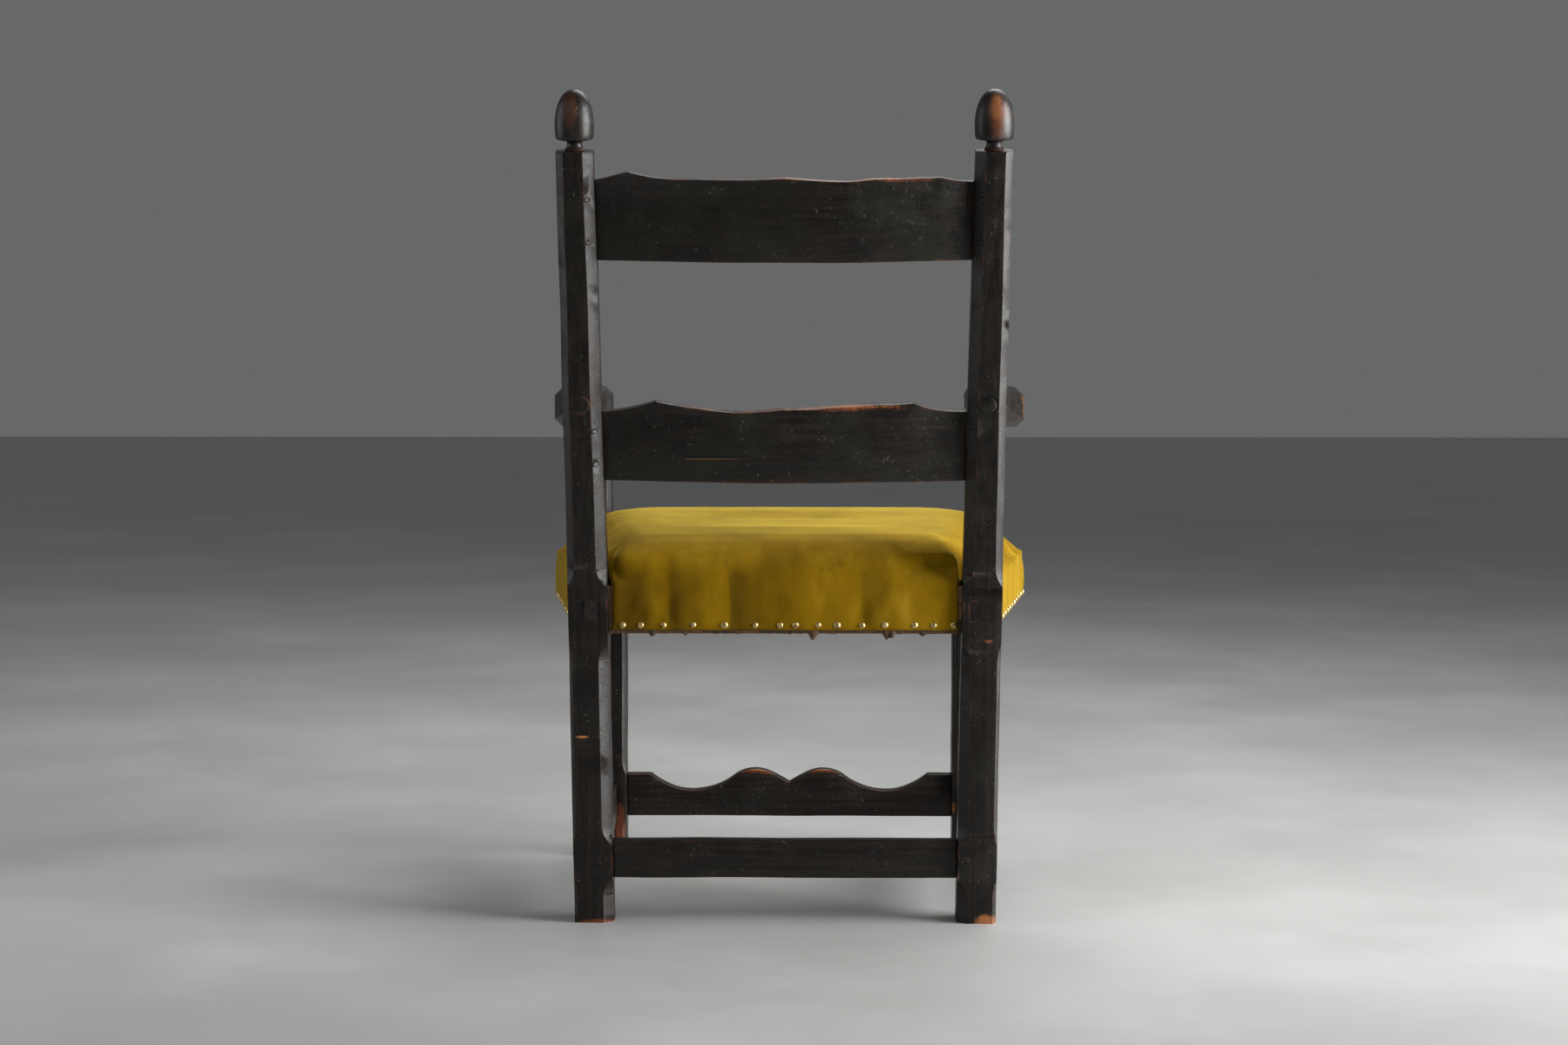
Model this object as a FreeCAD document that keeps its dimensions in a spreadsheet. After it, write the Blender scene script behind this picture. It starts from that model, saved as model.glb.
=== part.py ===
import FreeCAD, Part
import math
import os
import re
import Sketcher
from FreeCAD import Placement, Rotation, Vector

# Driving sizes, in millimetres and degrees.
# The chair stands on the floor with its sitter facing -Y and the sitter's left hand at +X.
# Depths called "reach" run forward from the rear face of the rear feet.
dimensions = {
    # rear posts: square in section, splayed outwards, bent back above the seat
    "post_width": 50,
    "post_depth": 50,
    "post_top_width": 46,
    "post_top_depth": 46,
    "rear_foot_spacing": 487,
    "post_splay": 0.88,
    "post_rake": 8.5,
    "post_bend_height": 430,
    "upper_post_length": 553,
    # stopped chamfers that turn the posts and legs octagonal
    "inner_chamfer": 12.5,
    "outer_chamfer": 9.5,
    "lower_outer_chamfer": 4.5,
    "leg_chamfer": 6,
    "chamfer_stop": 24,
    "chamfer_bend_rise": 4,
    "seat_block_bottom": 358,
    "stretcher_block_top": 124,
    "stretcher_block_bottom": 34,
    # turned finials
    "finial_radius": 24.2,
    "finial_neck_radius": 9.8,
    "finial_foot_radius": 12,
    "finial_neck_height": 13,
    "finial_neck_flare": 1,
    "finial_cup_radius": 19.5,
    "finial_cup_swell": 23,
    "finial_cup_rise": 3.5,
    "finial_belly_rise": 19,
    "finial_height": 75,
    "finial_tip_radius": 4,
    "finial_tenon_radius": 7,
    "finial_tenon_length": 18,
    # back slats, measured up the raked back from the bend of the posts
    "slat_thickness": 16,
    "slat_tenon_thickness": 9,
    "slat_tenon_length": 22,
    "slat_tenon_shoulder": 8,
    "top_slat_rise": 418,
    "top_slat_height": 99,
    "top_slat_bulge": 28,
    "top_slat_peak_offset": 193,
    "top_slat_peak_rise": 7.5,
    "top_slat_valley_offset": 98,
    "top_slat_valley_rise": 1.8,
    "top_slat_crest_rise": 4.5,
    "top_slat_sweep_rise": 2.2,
    "lower_slat_rise": 139,
    "lower_slat_height": 88,
    "lower_slat_bulge": 20,
    "lower_slat_peak_offset": 161,
    "lower_slat_peak_rise": 13.5,
    "lower_slat_valley_offset": 74,
    "lower_slat_valley_rise": 4.5,
    "lower_slat_crest_rise": 6.5,
    "lower_slat_sweep_rise": 4,
    "slat_peg_diameter": 6.5,
    "slat_peg_length": 38,
    "slat_peg_inset": 9,
    "slat_peg_edge": 23,
    # arms, in five stations from the rear post to the tip
    "arm_chamfer": 11,
    "arm_height": 665,
    "arm_rear_width": 44,
    "arm_rear_depth": 36,
    "arm_waist_reach": 170,
    "arm_waist_offset": 258,
    "arm_waist_height": 667,
    "arm_waist_width": 46,
    "arm_waist_depth": 33,
    "arm_swell_setback": 113,
    "arm_swell_offset": 270,
    "arm_swell_height": 657,
    "arm_swell_width": 55,
    "arm_swell_depth": 38,
    "arm_knob_lead": 27,
    "arm_knob_offset": 294,
    "arm_knob_height": 641,
    "arm_knob_width": 79,
    "arm_knob_depth": 54,
    "arm_tip_lead": 75,
    "arm_tip_offset": 297,
    "arm_tip_height": 640,
    "arm_tip_width": 58,
    "arm_tip_depth": 38,
    "arm_tenon_diameter": 22,
    "arm_tenon_proud": 0.6,
    # arm supports standing on the front seat rail
    "support_offset": 269,
    "support_foot_width": 36,
    "support_head_width": 32,
    "support_chamfer": 8,
    "support_tenon_diameter": 20,
    "support_tenon_length": 22,
    # front legs
    "leg_width": 52,
    "leg_depth": 50,
    "leg_reach": 463,
    "leg_spacing": 464,
    "leg_tenon_width": 24,
    "leg_tenon_length": 36,
    # stretchers near the floor
    "stretcher_bottom": 57,
    "stretcher_height": 48,
    "stretcher_thickness": 24,
    "stretcher_setback": 8,
    "stretcher_tenon_length": 18,
    "stretcher_tenon_height": 32,
    "stretcher_tenon_thickness": 10,
    "front_stretcher_end_height": 60,
    "front_stretcher_flat": 34,
    "front_stretcher_valley_offset": 155,
    "front_stretcher_valley_height": 38,
    "front_stretcher_hump_offset": 51,
    "front_stretcher_hump_height": 67,
    "front_stretcher_cusp_height": 48,
    "front_stretcher_descent_sag": 3,
    "front_stretcher_rim_rise": 5,
    "front_stretcher_flank_offset": 77,
    "front_stretcher_flank_drop": 9,
    "front_stretcher_lobe_drop": 5,
    "front_stretcher_cusp_offset": 10,
    "front_stretcher_cusp_drop": 13,
    "stretcher_peg_diameter": 8,
    "stretcher_peg_length": 34,
    "stretcher_peg_inset": 11,
    "stretcher_peg_proud": 0.5,
    # seat frame
    "rail_bottom": 370,
    "rail_height": 60,
    "rail_setback": 14,
    "rear_rail_thickness": 28,
    "rear_rail_tenon_length": 14,
    "rear_rail_tenon_height": 40,
    "rear_rail_tenon_thickness": 12,
    "side_rail_thickness": 32,
    "side_rail_rear_offset": 251,
    "side_rail_flare": 8,
    "side_rail_tenon_height": 25,
    "side_rail_tenon_width": 20,
    "side_rail_front_tenon": 24,
    "front_rail_lead": 5,
    "front_rail_depth": 62,
    "front_corner_radius": 45,
    "standing_gap": 1,
    # webbing, hessian, stuffing and velvet of the seat
    "strap_width": 50,
    "strap_thickness": 2,
    "strap_lap": 16,
    "strap_count": 4,
    "long_strap_pitch": 92,
    "cross_strap_pitch": 86,
    "cross_strap_reach": 108,
    "hessian_thickness": 1.2,
    "hessian_margin": 10,
    "velvet_thickness": 2,
    "velvet_hem_height": 376,
    "velvet_hem_stand": 4,
    "velvet_tuck_height": 388,
    "velvet_tuck_stand": 6,
    "seat_bulge_height": 404,
    "seat_bulge": 12,
    "seat_roll_height": 446,
    "seat_roll_radius": 42,
    "seat_shoulder_height": 496,
    "seat_shoulder_draw": 62,
    "seat_crown_height": 503,
    "seat_crown_draw": 160,
    "flank_bulge_height": 436,
    "flank_bulge": 5,
    "flank_roll_height": 462,
    "flank_roll_draw": 12,
    "flank_slope_height": 485,
    "flank_slope_draw": 45,
    "flank_shoulder_height": 497,
    "flank_shoulder_draw": 88,
    "flank_crown_draw": 130,
    "soft_gap": 0.3,
    "leather_thickness": 1.2,
    "leather_height": 24,
    "leather_end_gap": 1,
    # domed nails along the hem
    "nail_head_diameter": 9,
    "nail_head_height": 2.6,
    "nail_head_taper": 38,
    "nail_shank_width": 2.2,
    "nail_shank_length": 14,
    "nail_height": 381,
    "rear_nail_pitch": 31,
    "side_nail_pitch": 38,
    "nail_end_margin": 8,
    # clearance left round every tenon, peg and nail
    "joint_gap": 0.1,
}

doc = FreeCAD.newDocument("folk_armchair")
sheet = doc.addObject("Spreadsheet::Sheet", "sizes")
for row, (alias, number) in enumerate(dimensions.items(), start=1):
    sheet.set(f"A{row}", alias)
    sheet.set(f"B{row}", str(number))
    sheet.setAlias(f"B{row}", alias)
doc.recompute()

nodes = {}


# A formula written in the sheet's words, made ready for binding.
def formula(text):
    return re.sub(r"[a-z_]+", lambda word: "sizes." + word[0] if word[0] in dimensions else word[0], text)


def value(text):
    return float(sheet.evalExpression(formula(text)))


def point(corner):
    return Vector(value(corner[0]), value(corner[1]), 0)


def at(x, y, z, turn=Rotation()):
    return Placement(Vector(x, y, z), turn)


# Closed outline: a step is a corner (x, y), or a way point and a corner (x, y, x, y) reached by an arc.
def draw(sketch, path):
    ends = []
    for index, step in enumerate(path):
        start = point(path[index - 1][-2:])
        finish = point(step[-2:])
        if len(step) == 2:
            sketch.addGeometry(Part.LineSegment(start, finish))
            ends.append((1, 2))
        else:
            way = point(step[:2])
            if (way - start).cross(finish - way).z > 0:
                sketch.addGeometry(Part.Arc(start, way, finish))
                ends.append((1, 2))
            else:
                sketch.addGeometry(Part.Arc(finish, way, start))
                ends.append((2, 1))
    for index, step in enumerate(path):
        after = (index + 1) % len(path)
        joint = Sketcher.Constraint("Coincident", index, ends[index][1], after, ends[after][0])
        sketch.addConstraint(joint)
        pin(sketch, index, ends[index][1], step[-2:])
        if len(step) == 4:
            mark = sketch.addGeometry(Part.Point(point(step[:2])), True)
            pin(sketch, mark, 1, step[:2])
            sketch.addConstraint(Sketcher.Constraint("PointOnObject", mark, 1, index))


def pin(sketch, edge, end, corner):
    for kind, text in zip(("DistanceX", "DistanceY"), corner):
        rule = sketch.addConstraint(Sketcher.Constraint(kind, -1, 1, edge, end, value(text)))
        sketch.setExpression(f"Constraints[{rule}]", formula(text))


# Body padded from one outline: both ways from its plane, or up from a start height, narrowing by a taper.
def prism(name, role, path, length, start=None, taper="0"):
    body = doc.addObject("PartDesign::Body", name)
    sketch = body.newObject("Sketcher::SketchObject", name + "_outline")
    plane = next(item for item in body.Origin.OriginFeatures if item.Role == role)
    sketch.AttachmentSupport = (plane, [""])
    sketch.MapMode = "FlatFace"
    draw(sketch, path)
    pad = body.newObject("PartDesign::Pad", name + "_pad")
    pad.Profile = sketch
    pad.setExpression("Length", formula(length))
    pad.setExpression("TaperAngle", formula(f"-({taper})"))
    if start is None:
        pad.SideType = "Symmetric"
    else:
        sketch.setExpression("AttachmentOffset.Base.z", formula(start))
    return body


def turned(name, path):
    body = doc.addObject("PartDesign::Body", name)
    sketch = body.newObject("Sketcher::SketchObject", name + "_outline")
    plane = next(item for item in body.Origin.OriginFeatures if item.Role == "XZ_Plane")
    sketch.AttachmentSupport = (plane, [""])
    sketch.MapMode = "FlatFace"
    draw(sketch, path)
    revolution = body.newObject("PartDesign::Revolution", name + "_turning")
    revolution.Profile = sketch
    revolution.ReferenceAxis = (sketch, ["V_Axis"])
    return body


# Rectangular block along its own X axis, centred across it, starting behind its shoulder by the root.
def block(name, length, width, height, place, root="0"):
    box = doc.addObject("Part::Box", name)
    box.setExpression("Length", formula(f"{length} + {root}"))
    box.setExpression("Width", formula(width))
    box.setExpression("Height", formula(height))
    box.Placement = place * at(-value(root), -value(width) / 2, -value(height) / 2)
    return box


def rod(name, diameter, length, place):
    cylinder = doc.addObject("Part::Cylinder", name)
    cylinder.setExpression("Radius", formula(f"({diameter}) / 2"))
    cylinder.setExpression("Height", formula(length))
    cylinder.Placement = place
    return cylinder


# Shaved peg or its hole: an eight-sided rod.
def shaved(name, diameter, length, place):
    bar = doc.addObject("Part::Prism", name)
    bar.Polygon = 8
    bar.setExpression("Circumradius", formula(f"({diameter}) / 2"))
    bar.setExpression("Height", formula(length))
    bar.Placement = place
    return bar


def common(name, first, second):
    result = doc.addObject("Part::Common", name)
    result.Base = first
    result.Tool = second
    return result


def fuse(name, pieces):
    result = doc.addObject("Part::MultiFuse", name)
    result.Shapes = pieces
    return result


def cut(name, base, tools):
    tool = tools[0] if len(tools) == 1 else fuse(name + "_tools", tools)
    result = doc.addObject("Part::Cut", name)
    result.Base = base
    result.Tool = tool
    return result


def group(name, pieces):
    result = doc.addObject("Part::Compound", name)
    result.Links = pieces
    return result


def mirrored(name, source):
    result = doc.addObject("Part::Mirroring", name)
    result.Source = source
    result.Normal = Vector(1, 0, 0)
    return result


def solid(name, shape):
    result = doc.addObject("Part::Feature", name)
    result.Shape = shape
    return result


# A left-hand piece and its mirror image on the right.
def pair(name, piece):
    nodes[name + "_left"] = piece
    nodes[name + "_right"] = mirrored(name + "_right", piece)


# Octagon about the origin, from the width and depth across its flats and the legs of its chamfers.
def octagon_path(width, depth, chamfer):
    across = f"({width}) / 2"
    upward = f"({depth}) / 2"
    return [
        (across, f"{chamfer} - {upward}"),
        (across, f"{upward} - {chamfer}"),
        (f"{across} - {chamfer}", upward),
        (f"{chamfer} - {across}", upward),
        (f"-{across}", f"{upward} - {chamfer}"),
        (f"-{across}", f"{chamfer} - {upward}"),
        (f"{chamfer} - {across}", f"-{upward}"),
        (f"{across} - {chamfer}", f"-{upward}"),
    ]


def octagon(name, width, depth, chamfer, place):
    sketch = doc.addObject("Sketcher::SketchObject", name)
    draw(sketch, octagon_path(width, depth, chamfer))
    sketch.Placement = place
    return sketch


def loft(name, sections, ruled=False):
    result = doc.addObject("Part::Loft", name)
    result.Sections = sections
    result.Solid = True
    result.Ruled = ruled
    return result


# Directions of joints: the X axis of a block turned into the host.
to_left = Rotation()
to_right = Rotation(Vector(0, 0, 1), 180)
to_rear = Rotation(Vector(0, 0, 1), 90)
to_front = Rotation(Vector(0, 0, 1), -90)
upwards = Rotation(Vector(0, 1, 0), -90)
rearward_axis = Rotation(Vector(1, 0, 0), -90)
sides = {"left": (1, to_left), "right": (-1, to_right)}

# Frame of the raked back: origin at the bend of the posts, Y square to the back, Z up along it.
rake_turn = Rotation(Vector(1, 0, 0), -value("post_rake"))
back = at(0, -value("post_depth") / 2, value("post_bend_height"), rake_turn)

post_top = "(post_bend_height + upper_post_length * cos(post_rake))"


def post_middle(height):
    return f"(rear_foot_spacing / 2 + ({height}) * tan(post_splay))"


# Inner face of a rear post, at a rise along the raked back above the bend.
def post_inner(rise):
    narrowing = "(post_width - post_top_width) / 2 / upper_post_length"
    base = f"{post_middle('post_bend_height')} - post_width / 2"
    return f"({base} + ({rise}) * (cos(post_rake) * tan(post_splay) + {narrowing}))"


def post_half_depth(rise):
    return f"(post_depth / 2 - ({rise}) * (post_depth - post_top_depth) / 2 / upper_post_length)"


# Waste of one stopped chamfer: a scooped stop where asked, otherwise run out past the end of the arris.
def chamfer_waste(start, finish, outward, leg, stop_start, stop_finish):
    along = (finish - start).normalize()
    outward = (outward - along * outward.dot(along)).normalize()
    sideways = along.cross(outward)
    depth = leg / math.sqrt(2)
    stop = value("chamfer_stop")
    radius = (stop ** 2 + depth ** 2) / (2 * depth)
    halfway = radius - math.sqrt(radius ** 2 - (stop / 2) ** 2) - depth
    length = start.distanceToPoint(finish)

    def spot(run, rise):
        return start + along * run + outward * rise

    edges = []
    left = spot(-leg, -depth)
    if stop_start:
        left = spot(stop, -depth)
        edges.append(Part.LineSegment(spot(0, leg), spot(0, 0)))
        edges.append(Part.Arc(spot(0, 0), spot(stop / 2, halfway), left))
    else:
        edges.append(Part.LineSegment(spot(-leg, leg), left))
    right = spot(length - stop, -depth) if stop_finish else spot(length + leg, -depth)
    edges.append(Part.LineSegment(left, right))
    if stop_finish:
        edges.append(Part.Arc(right, spot(length - stop / 2, halfway), spot(length, 0)))
        edges.append(Part.LineSegment(spot(length, 0), spot(length, leg)))
    else:
        edges.append(Part.LineSegment(right, spot(length + leg, leg)))
    far = length if stop_finish else length + leg
    near = 0 if stop_start else -leg
    edges.append(Part.LineSegment(spot(far, leg), spot(near, leg)))
    face = Part.Face(Part.Wire([edge.toShape() for edge in edges]))
    face.translate(sideways * -leg)
    return face.extrude(sideways * 2 * leg)


# Rear post: its side view, bent and tapered, crossed with its splayed rear view.
half_bend = "post_depth / 2 * tan(post_rake / 2)"
top_middle = "(upper_post_length * sin(post_rake) - post_depth / 2)"
top_run = "post_top_depth / 2 * cos(post_rake)"
top_drop = "post_top_depth / 2 * sin(post_rake)"
post_side = prism("post_side", "YZ_Plane", [
    ("-post_depth", "0"),
    ("0", "0"),
    ("0", f"post_bend_height - {half_bend}"),
    (f"{top_middle} + {top_run}", f"{post_top} - {top_drop}"),
    (f"{top_middle} - {top_run}", f"{post_top} + {top_drop}"),
    ("-post_depth", f"post_bend_height + {half_bend}"),
], "4 * rear_foot_spacing")
post_front = prism("post_front", "XZ_Plane", [
    (f"{post_middle('0')} - post_width / 2", "0"),
    (f"{post_middle('0')} + post_width / 2", "0"),
    (f"{post_middle('post_bend_height')} + post_width / 2", "post_bend_height"),
    (f"{post_middle(post_top)} + post_top_width / 2", post_top),
    (f"{post_middle(post_top)} + post_top_width / 2", f"{post_top} + post_top_depth"),
    (f"{post_middle(post_top)} - post_top_width / 2", f"{post_top} + post_top_depth"),
    (f"{post_middle(post_top)} - post_top_width / 2", post_top),
    (f"{post_middle('post_bend_height')} - post_width / 2", "post_bend_height"),
], "2 * upper_post_length")
post_blank = common("post_blank", post_side, post_front)


# Point on an arris of the left post: low down by height, or up the raked part by rise.
def low_arris(across, rear, height):
    x = value(f"{post_middle(height)} + ({across}) * post_width / 2")
    return Vector(x, 0 if rear > 0 else -value("post_depth"), value(height))


def high_arris(across, rear, rise):
    middle = value(post_middle("post_bend_height")) + rise * value("cos(post_rake) * tan(post_splay)")
    half_width = middle - value(post_inner(str(rise)))
    return back.multVec(Vector(middle + across * half_width, rear * value(post_half_depth(str(rise))), rise))


post_waste = []
for rear in (1, -1):
    for across, low_leg, high_leg in ((-1, "inner_chamfer", "inner_chamfer"),
                                      (1, "lower_outer_chamfer", "outer_chamfer")):
        outward = Vector(across, rear, 0)
        foot = low_arris(across, rear, "0")
        foot_stop = low_arris(across, rear, "stretcher_block_bottom + chamfer_stop")
        leg_stop = low_arris(across, rear, "stretcher_block_top - chamfer_stop")
        seat_stop = low_arris(across, rear, "seat_block_bottom")
        post_waste.append(chamfer_waste(foot, foot_stop, outward, value(low_leg), False, True))
        post_waste.append(chamfer_waste(leg_stop, seat_stop, outward, value(low_leg), True, True))
        bend = high_arris(across, rear, value("chamfer_bend_rise"))
        tip = high_arris(across, rear, value("upper_post_length"))
        tilted = rake_turn.multVec(outward)
        post_waste.append(chamfer_waste(bend, tip, tilted, value(high_leg), True, False))
post_cuts = [solid("post_chamfers", Part.makeCompound(post_waste))]

# Finial: acorn on a short neck, tenoned into the post top along the raked axis, closing along an ellipse.
finial_belly = "(finial_neck_height + finial_belly_rise)"
finial_path = [
    ("0", "-finial_tenon_length"),
    ("finial_tenon_radius", "-finial_tenon_length"),
    ("finial_tenon_radius", "0"),
    ("finial_foot_radius", "0"),
    ("finial_neck_radius", "finial_neck_height / 2"),
    ("finial_neck_radius + finial_neck_flare", "finial_neck_height"),
    ("finial_cup_radius", "finial_neck_height"),
    ("finial_cup_swell", "finial_neck_height + finial_cup_rise"),
    ("finial_radius", finial_belly),
]
for angle in (22, 44, 66):
    height = f"{finial_belly} + (finial_height - {finial_belly}) * sin({angle})"
    finial_path.append((f"finial_radius * cos({angle})", height))
finial_path += [("finial_tip_radius", "finial_height"), ("0", "finial_height")]
finial = turned("finial", finial_path)
finial_x = value(post_middle(post_top))
finial.Placement = back * at(finial_x, 0, value("upper_post_length"))
finial_socket = at(finial_x, 0, value("upper_post_length - finial_tenon_length - joint_gap"))
post_cuts.append(rod("finial_socket", "2 * finial_tenon_radius + 2 * joint_gap",
                     "finial_tenon_length * 2", back * finial_socket))
nodes["finials"] = group("finials", [finial, mirrored("finial_right", finial)])

# Slats: a board bent in plan, crossed with its scrolled outline, tenoned and pegged into the posts.
pegs = []
for slat in ("top_slat", "lower_slat"):
    bottom = f"{slat}_rise"
    top = f"({slat}_rise + {slat}_height)"
    half = f"({post_inner(top)} + joint_gap)"
    plan = prism(slat + "_plan", "XY_Plane", [
        (half, "slat_thickness / 2"),
        ("0", f"{slat}_bulge + slat_thickness / 2", f"-{half}", "slat_thickness / 2"),
        (f"-{half}", "-slat_thickness / 2"),
        ("0", f"{slat}_bulge - slat_thickness / 2", half, "-slat_thickness / 2"),
    ], f"2 * {slat}_height", f"{slat}_rise - {slat}_height / 2")
    end_low = f"({post_inner(bottom)} - joint_gap)"
    end_high = f"({post_inner(top)} - joint_gap)"
    peak = (f"{slat}_peak_offset", f"{top} + {slat}_peak_rise")
    valley = (f"{slat}_valley_offset", f"{top} + {slat}_valley_rise")
    crest = ("0", f"{top} + {slat}_crest_rise")
    slope = (f"({end_high} + {slat}_peak_offset) / 2", f"{top} + {slat}_sweep_rise")
    outline = prism(slat + "_outline", "XZ_Plane", [
        (f"-{end_low}", bottom),
        (end_low, bottom),
        (end_high, top),
        slope + peak,
        valley + crest,
        (f"-{valley[0]}", valley[1], f"-{peak[0]}", peak[1]),
        (f"-{slope[0]}", slope[1], f"-{end_high}", top),
    ], f"8 * {slat}_bulge")
    plan.Placement = back
    outline.Placement = back
    board = common(slat + "_board", plan, outline)
    middle = f"{slat}_rise + {slat}_height / 2"
    tenon = ("slat_tenon_length", "slat_tenon_thickness", f"{slat}_height - 2 * slat_tenon_shoulder")
    tenons = []
    holes = []
    for side, (sign, turn) in sides.items():
        shoulder = back * at(sign * value(post_inner(middle)), 0, value(middle), turn)
        tenons.append(block(f"{slat}_tenon_{side}", *tenon, shoulder, "slat_thickness / 2"))
        for rise in (f"{slat}_rise + slat_peg_edge", f"{slat}_rise + {slat}_height - slat_peg_edge"):
            across = sign * value(f"{post_inner(rise)} + slat_peg_inset")
            buried = value(f"{post_half_depth(rise)} - slat_peg_length - joint_gap")
            seat = back * at(across, buried, value(rise), rearward_axis)
            peg = shaved("slat_peg", "slat_peg_diameter", "slat_peg_length", seat)
            hole = shaved("slat_peg_hole", "slat_peg_diameter + 2 * joint_gap", "slat_peg_length * 2",
                          seat * at(0, 0, -value("joint_gap")))
            pegs.append(peg)
            holes.append(hole)
            if side == "left":
                post_cuts.append(hole)
    mortise = back * at(value(post_inner(middle)), 0, value(middle))
    post_cuts.append(block(f"{slat}_mortise", f"{tenon[0]} + joint_gap", f"{tenon[1]} + 2 * joint_gap",
                           f"{tenon[2]} + 2 * joint_gap", mortise, "slat_thickness"))
    nodes[slat] = cut(slat, fuse(slat + "_blank", [board] + tenons), holes)
nodes["slat_pegs"] = group("slat_pegs", pegs)

# Arm: octagonal sections lofted from the post to a broad dropped knob, with a round tenon through the post.
arm_rise = "((arm_height - post_bend_height) / cos(post_rake))"
arm_rear_x = value(post_middle("arm_height"))
arm_face = value(post_half_depth(arm_rise) + " + joint_gap")
arm_root = back * at(arm_rear_x, -arm_face, value(arm_rise), Rotation(Vector(1, 0, 0), 90))
across_chair = Rotation(Vector(1, 0, 0), 90)
arm_sections = [octagon("arm_rear", "arm_rear_width", "arm_rear_depth", "arm_chamfer", arm_root)]
for station, reach in (("waist", "arm_waist_reach"), ("swell", "leg_reach - arm_swell_setback"),
                       ("knob", "leg_reach + arm_knob_lead"), ("tip", "leg_reach + arm_tip_lead")):
    name = f"arm_{station}"
    centre = at(value(name + "_offset"), -value(reach), value(name + "_height"), across_chair)
    arm_sections.append(octagon(name, name + "_width", name + "_depth", "arm_chamfer", centre))
arm_blank = loft("arm_blank", arm_sections)
arm_tenon_length = f"2 * {post_half_depth(arm_rise)} + arm_tenon_proud"
tenon_start = back * at(arm_rear_x, -arm_face - value("arm_rear_depth"), value(arm_rise), rearward_axis)
arm_tenon = rod("arm_tenon", "arm_tenon_diameter", f"{arm_tenon_length} + arm_rear_depth + joint_gap",
                tenon_start)
post_cuts.append(rod("arm_tenon_hole", "arm_tenon_diameter + 2 * joint_gap",
                     f"{arm_tenon_length} + 2 * arm_rear_depth", tenon_start))

# Arm support: octagonal column from the front seat rail, scribed to the arm and tenoned into both.
rail_top = "(rail_bottom + rail_height)"
front_reach = "(leg_reach - front_rail_lead)"
support_y = -value(f"{front_reach} + front_rail_depth / 2")
support_foot = at(value("support_offset"), support_y, value(rail_top))
support_head = at(value("support_offset"), support_y, value("arm_knob_height"))
column = loft("support_column", [
    octagon("support_foot", "support_foot_width", "support_foot_width", "support_chamfer", support_foot),
    octagon("support_head", "support_head_width", "support_head_width", "support_chamfer", support_head),
], ruled=True)
scribed = cut("support_scribed", column, [arm_blank])
support_length = f"arm_knob_height - arm_knob_depth / 2 - {rail_top}"
spindle_start = support_foot * at(0, 0, -value("support_tenon_length"))
spindle_length = f"{support_length} + 2 * support_tenon_length"
spindle = rod("support_tenons", "support_tenon_diameter", spindle_length, spindle_start)
spindle_hole = rod("support_tenon_holes", "support_tenon_diameter + 2 * joint_gap",
                   f"{spindle_length} + 2 * joint_gap", spindle_start * at(0, 0, -value("joint_gap")))
pair("arm_support", fuse("arm_support_left", [scribed, spindle]))
pair("arm", cut("arm_left", fuse("arm_shaped", [arm_blank, arm_tenon]), [spindle_hole]))

# Front leg: square, chamfered between the joints, tenoned up into the front seat rail.
leg_inner = "leg_spacing / 2"
leg_middle = "(leg_spacing / 2 + leg_width / 2)"
leg_centre_y = "-(leg_reach + leg_depth / 2)"
leg_square = prism("leg_square", "XY_Plane", [
    (leg_inner, "-leg_reach - leg_depth"),
    (f"{leg_inner} + leg_width", "-leg_reach - leg_depth"),
    (f"{leg_inner} + leg_width", "-leg_reach"),
    (leg_inner, "-leg_reach"),
], "rail_bottom", "0")
leg_top = at(value(leg_middle), value(leg_centre_y), value("rail_bottom"), upwards)
leg_tenon = block("leg_tenon", "leg_tenon_length", "leg_tenon_width", "leg_tenon_width", leg_top,
                  "leg_tenon_width")
leg_mortise = block("leg_mortise", "leg_tenon_length + joint_gap", "leg_tenon_width + 2 * joint_gap",
                    "leg_tenon_width + 2 * joint_gap", leg_top, "leg_tenon_width")
leg_waste = []
for across in (-1, 1):
    for rear in (-1, 1):
        x = value(f"{leg_middle} + ({across}) * leg_width / 2")
        y = value(f"{leg_centre_y} + ({rear}) * leg_depth / 2")
        corners = [Vector(x, y, value(height)) for height in (
            "0", "stretcher_block_bottom + chamfer_stop",
            "stretcher_bottom + front_stretcher_end_height", "rail_bottom")]
        outward = Vector(across, rear, 0)
        leg_waste.append(chamfer_waste(corners[0], corners[1], outward, value("leg_chamfer"), False, True))
        leg_waste.append(chamfer_waste(corners[2], corners[3], outward, value("leg_chamfer"), True, True))
leg_cuts = [solid("leg_chamfers", Part.makeCompound(leg_waste))]

# Stretchers: plain rear and side bars and a scrolled front one, all with flat tenons.
tenon_size = ("stretcher_tenon_length", "stretcher_tenon_thickness", "stretcher_tenon_height")
mortise_size = ("stretcher_tenon_length + joint_gap", "stretcher_tenon_thickness + 2 * joint_gap",
                "stretcher_tenon_height + 2 * joint_gap")
bar_middle = "(stretcher_bottom + stretcher_height / 2)"
bar_top = "(stretcher_bottom + stretcher_height)"
rear_bar_y = "-(stretcher_setback + stretcher_thickness / 2)"


def post_inner_low(height):
    return f"({post_middle(height)} - post_width / 2 - joint_gap)"


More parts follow.
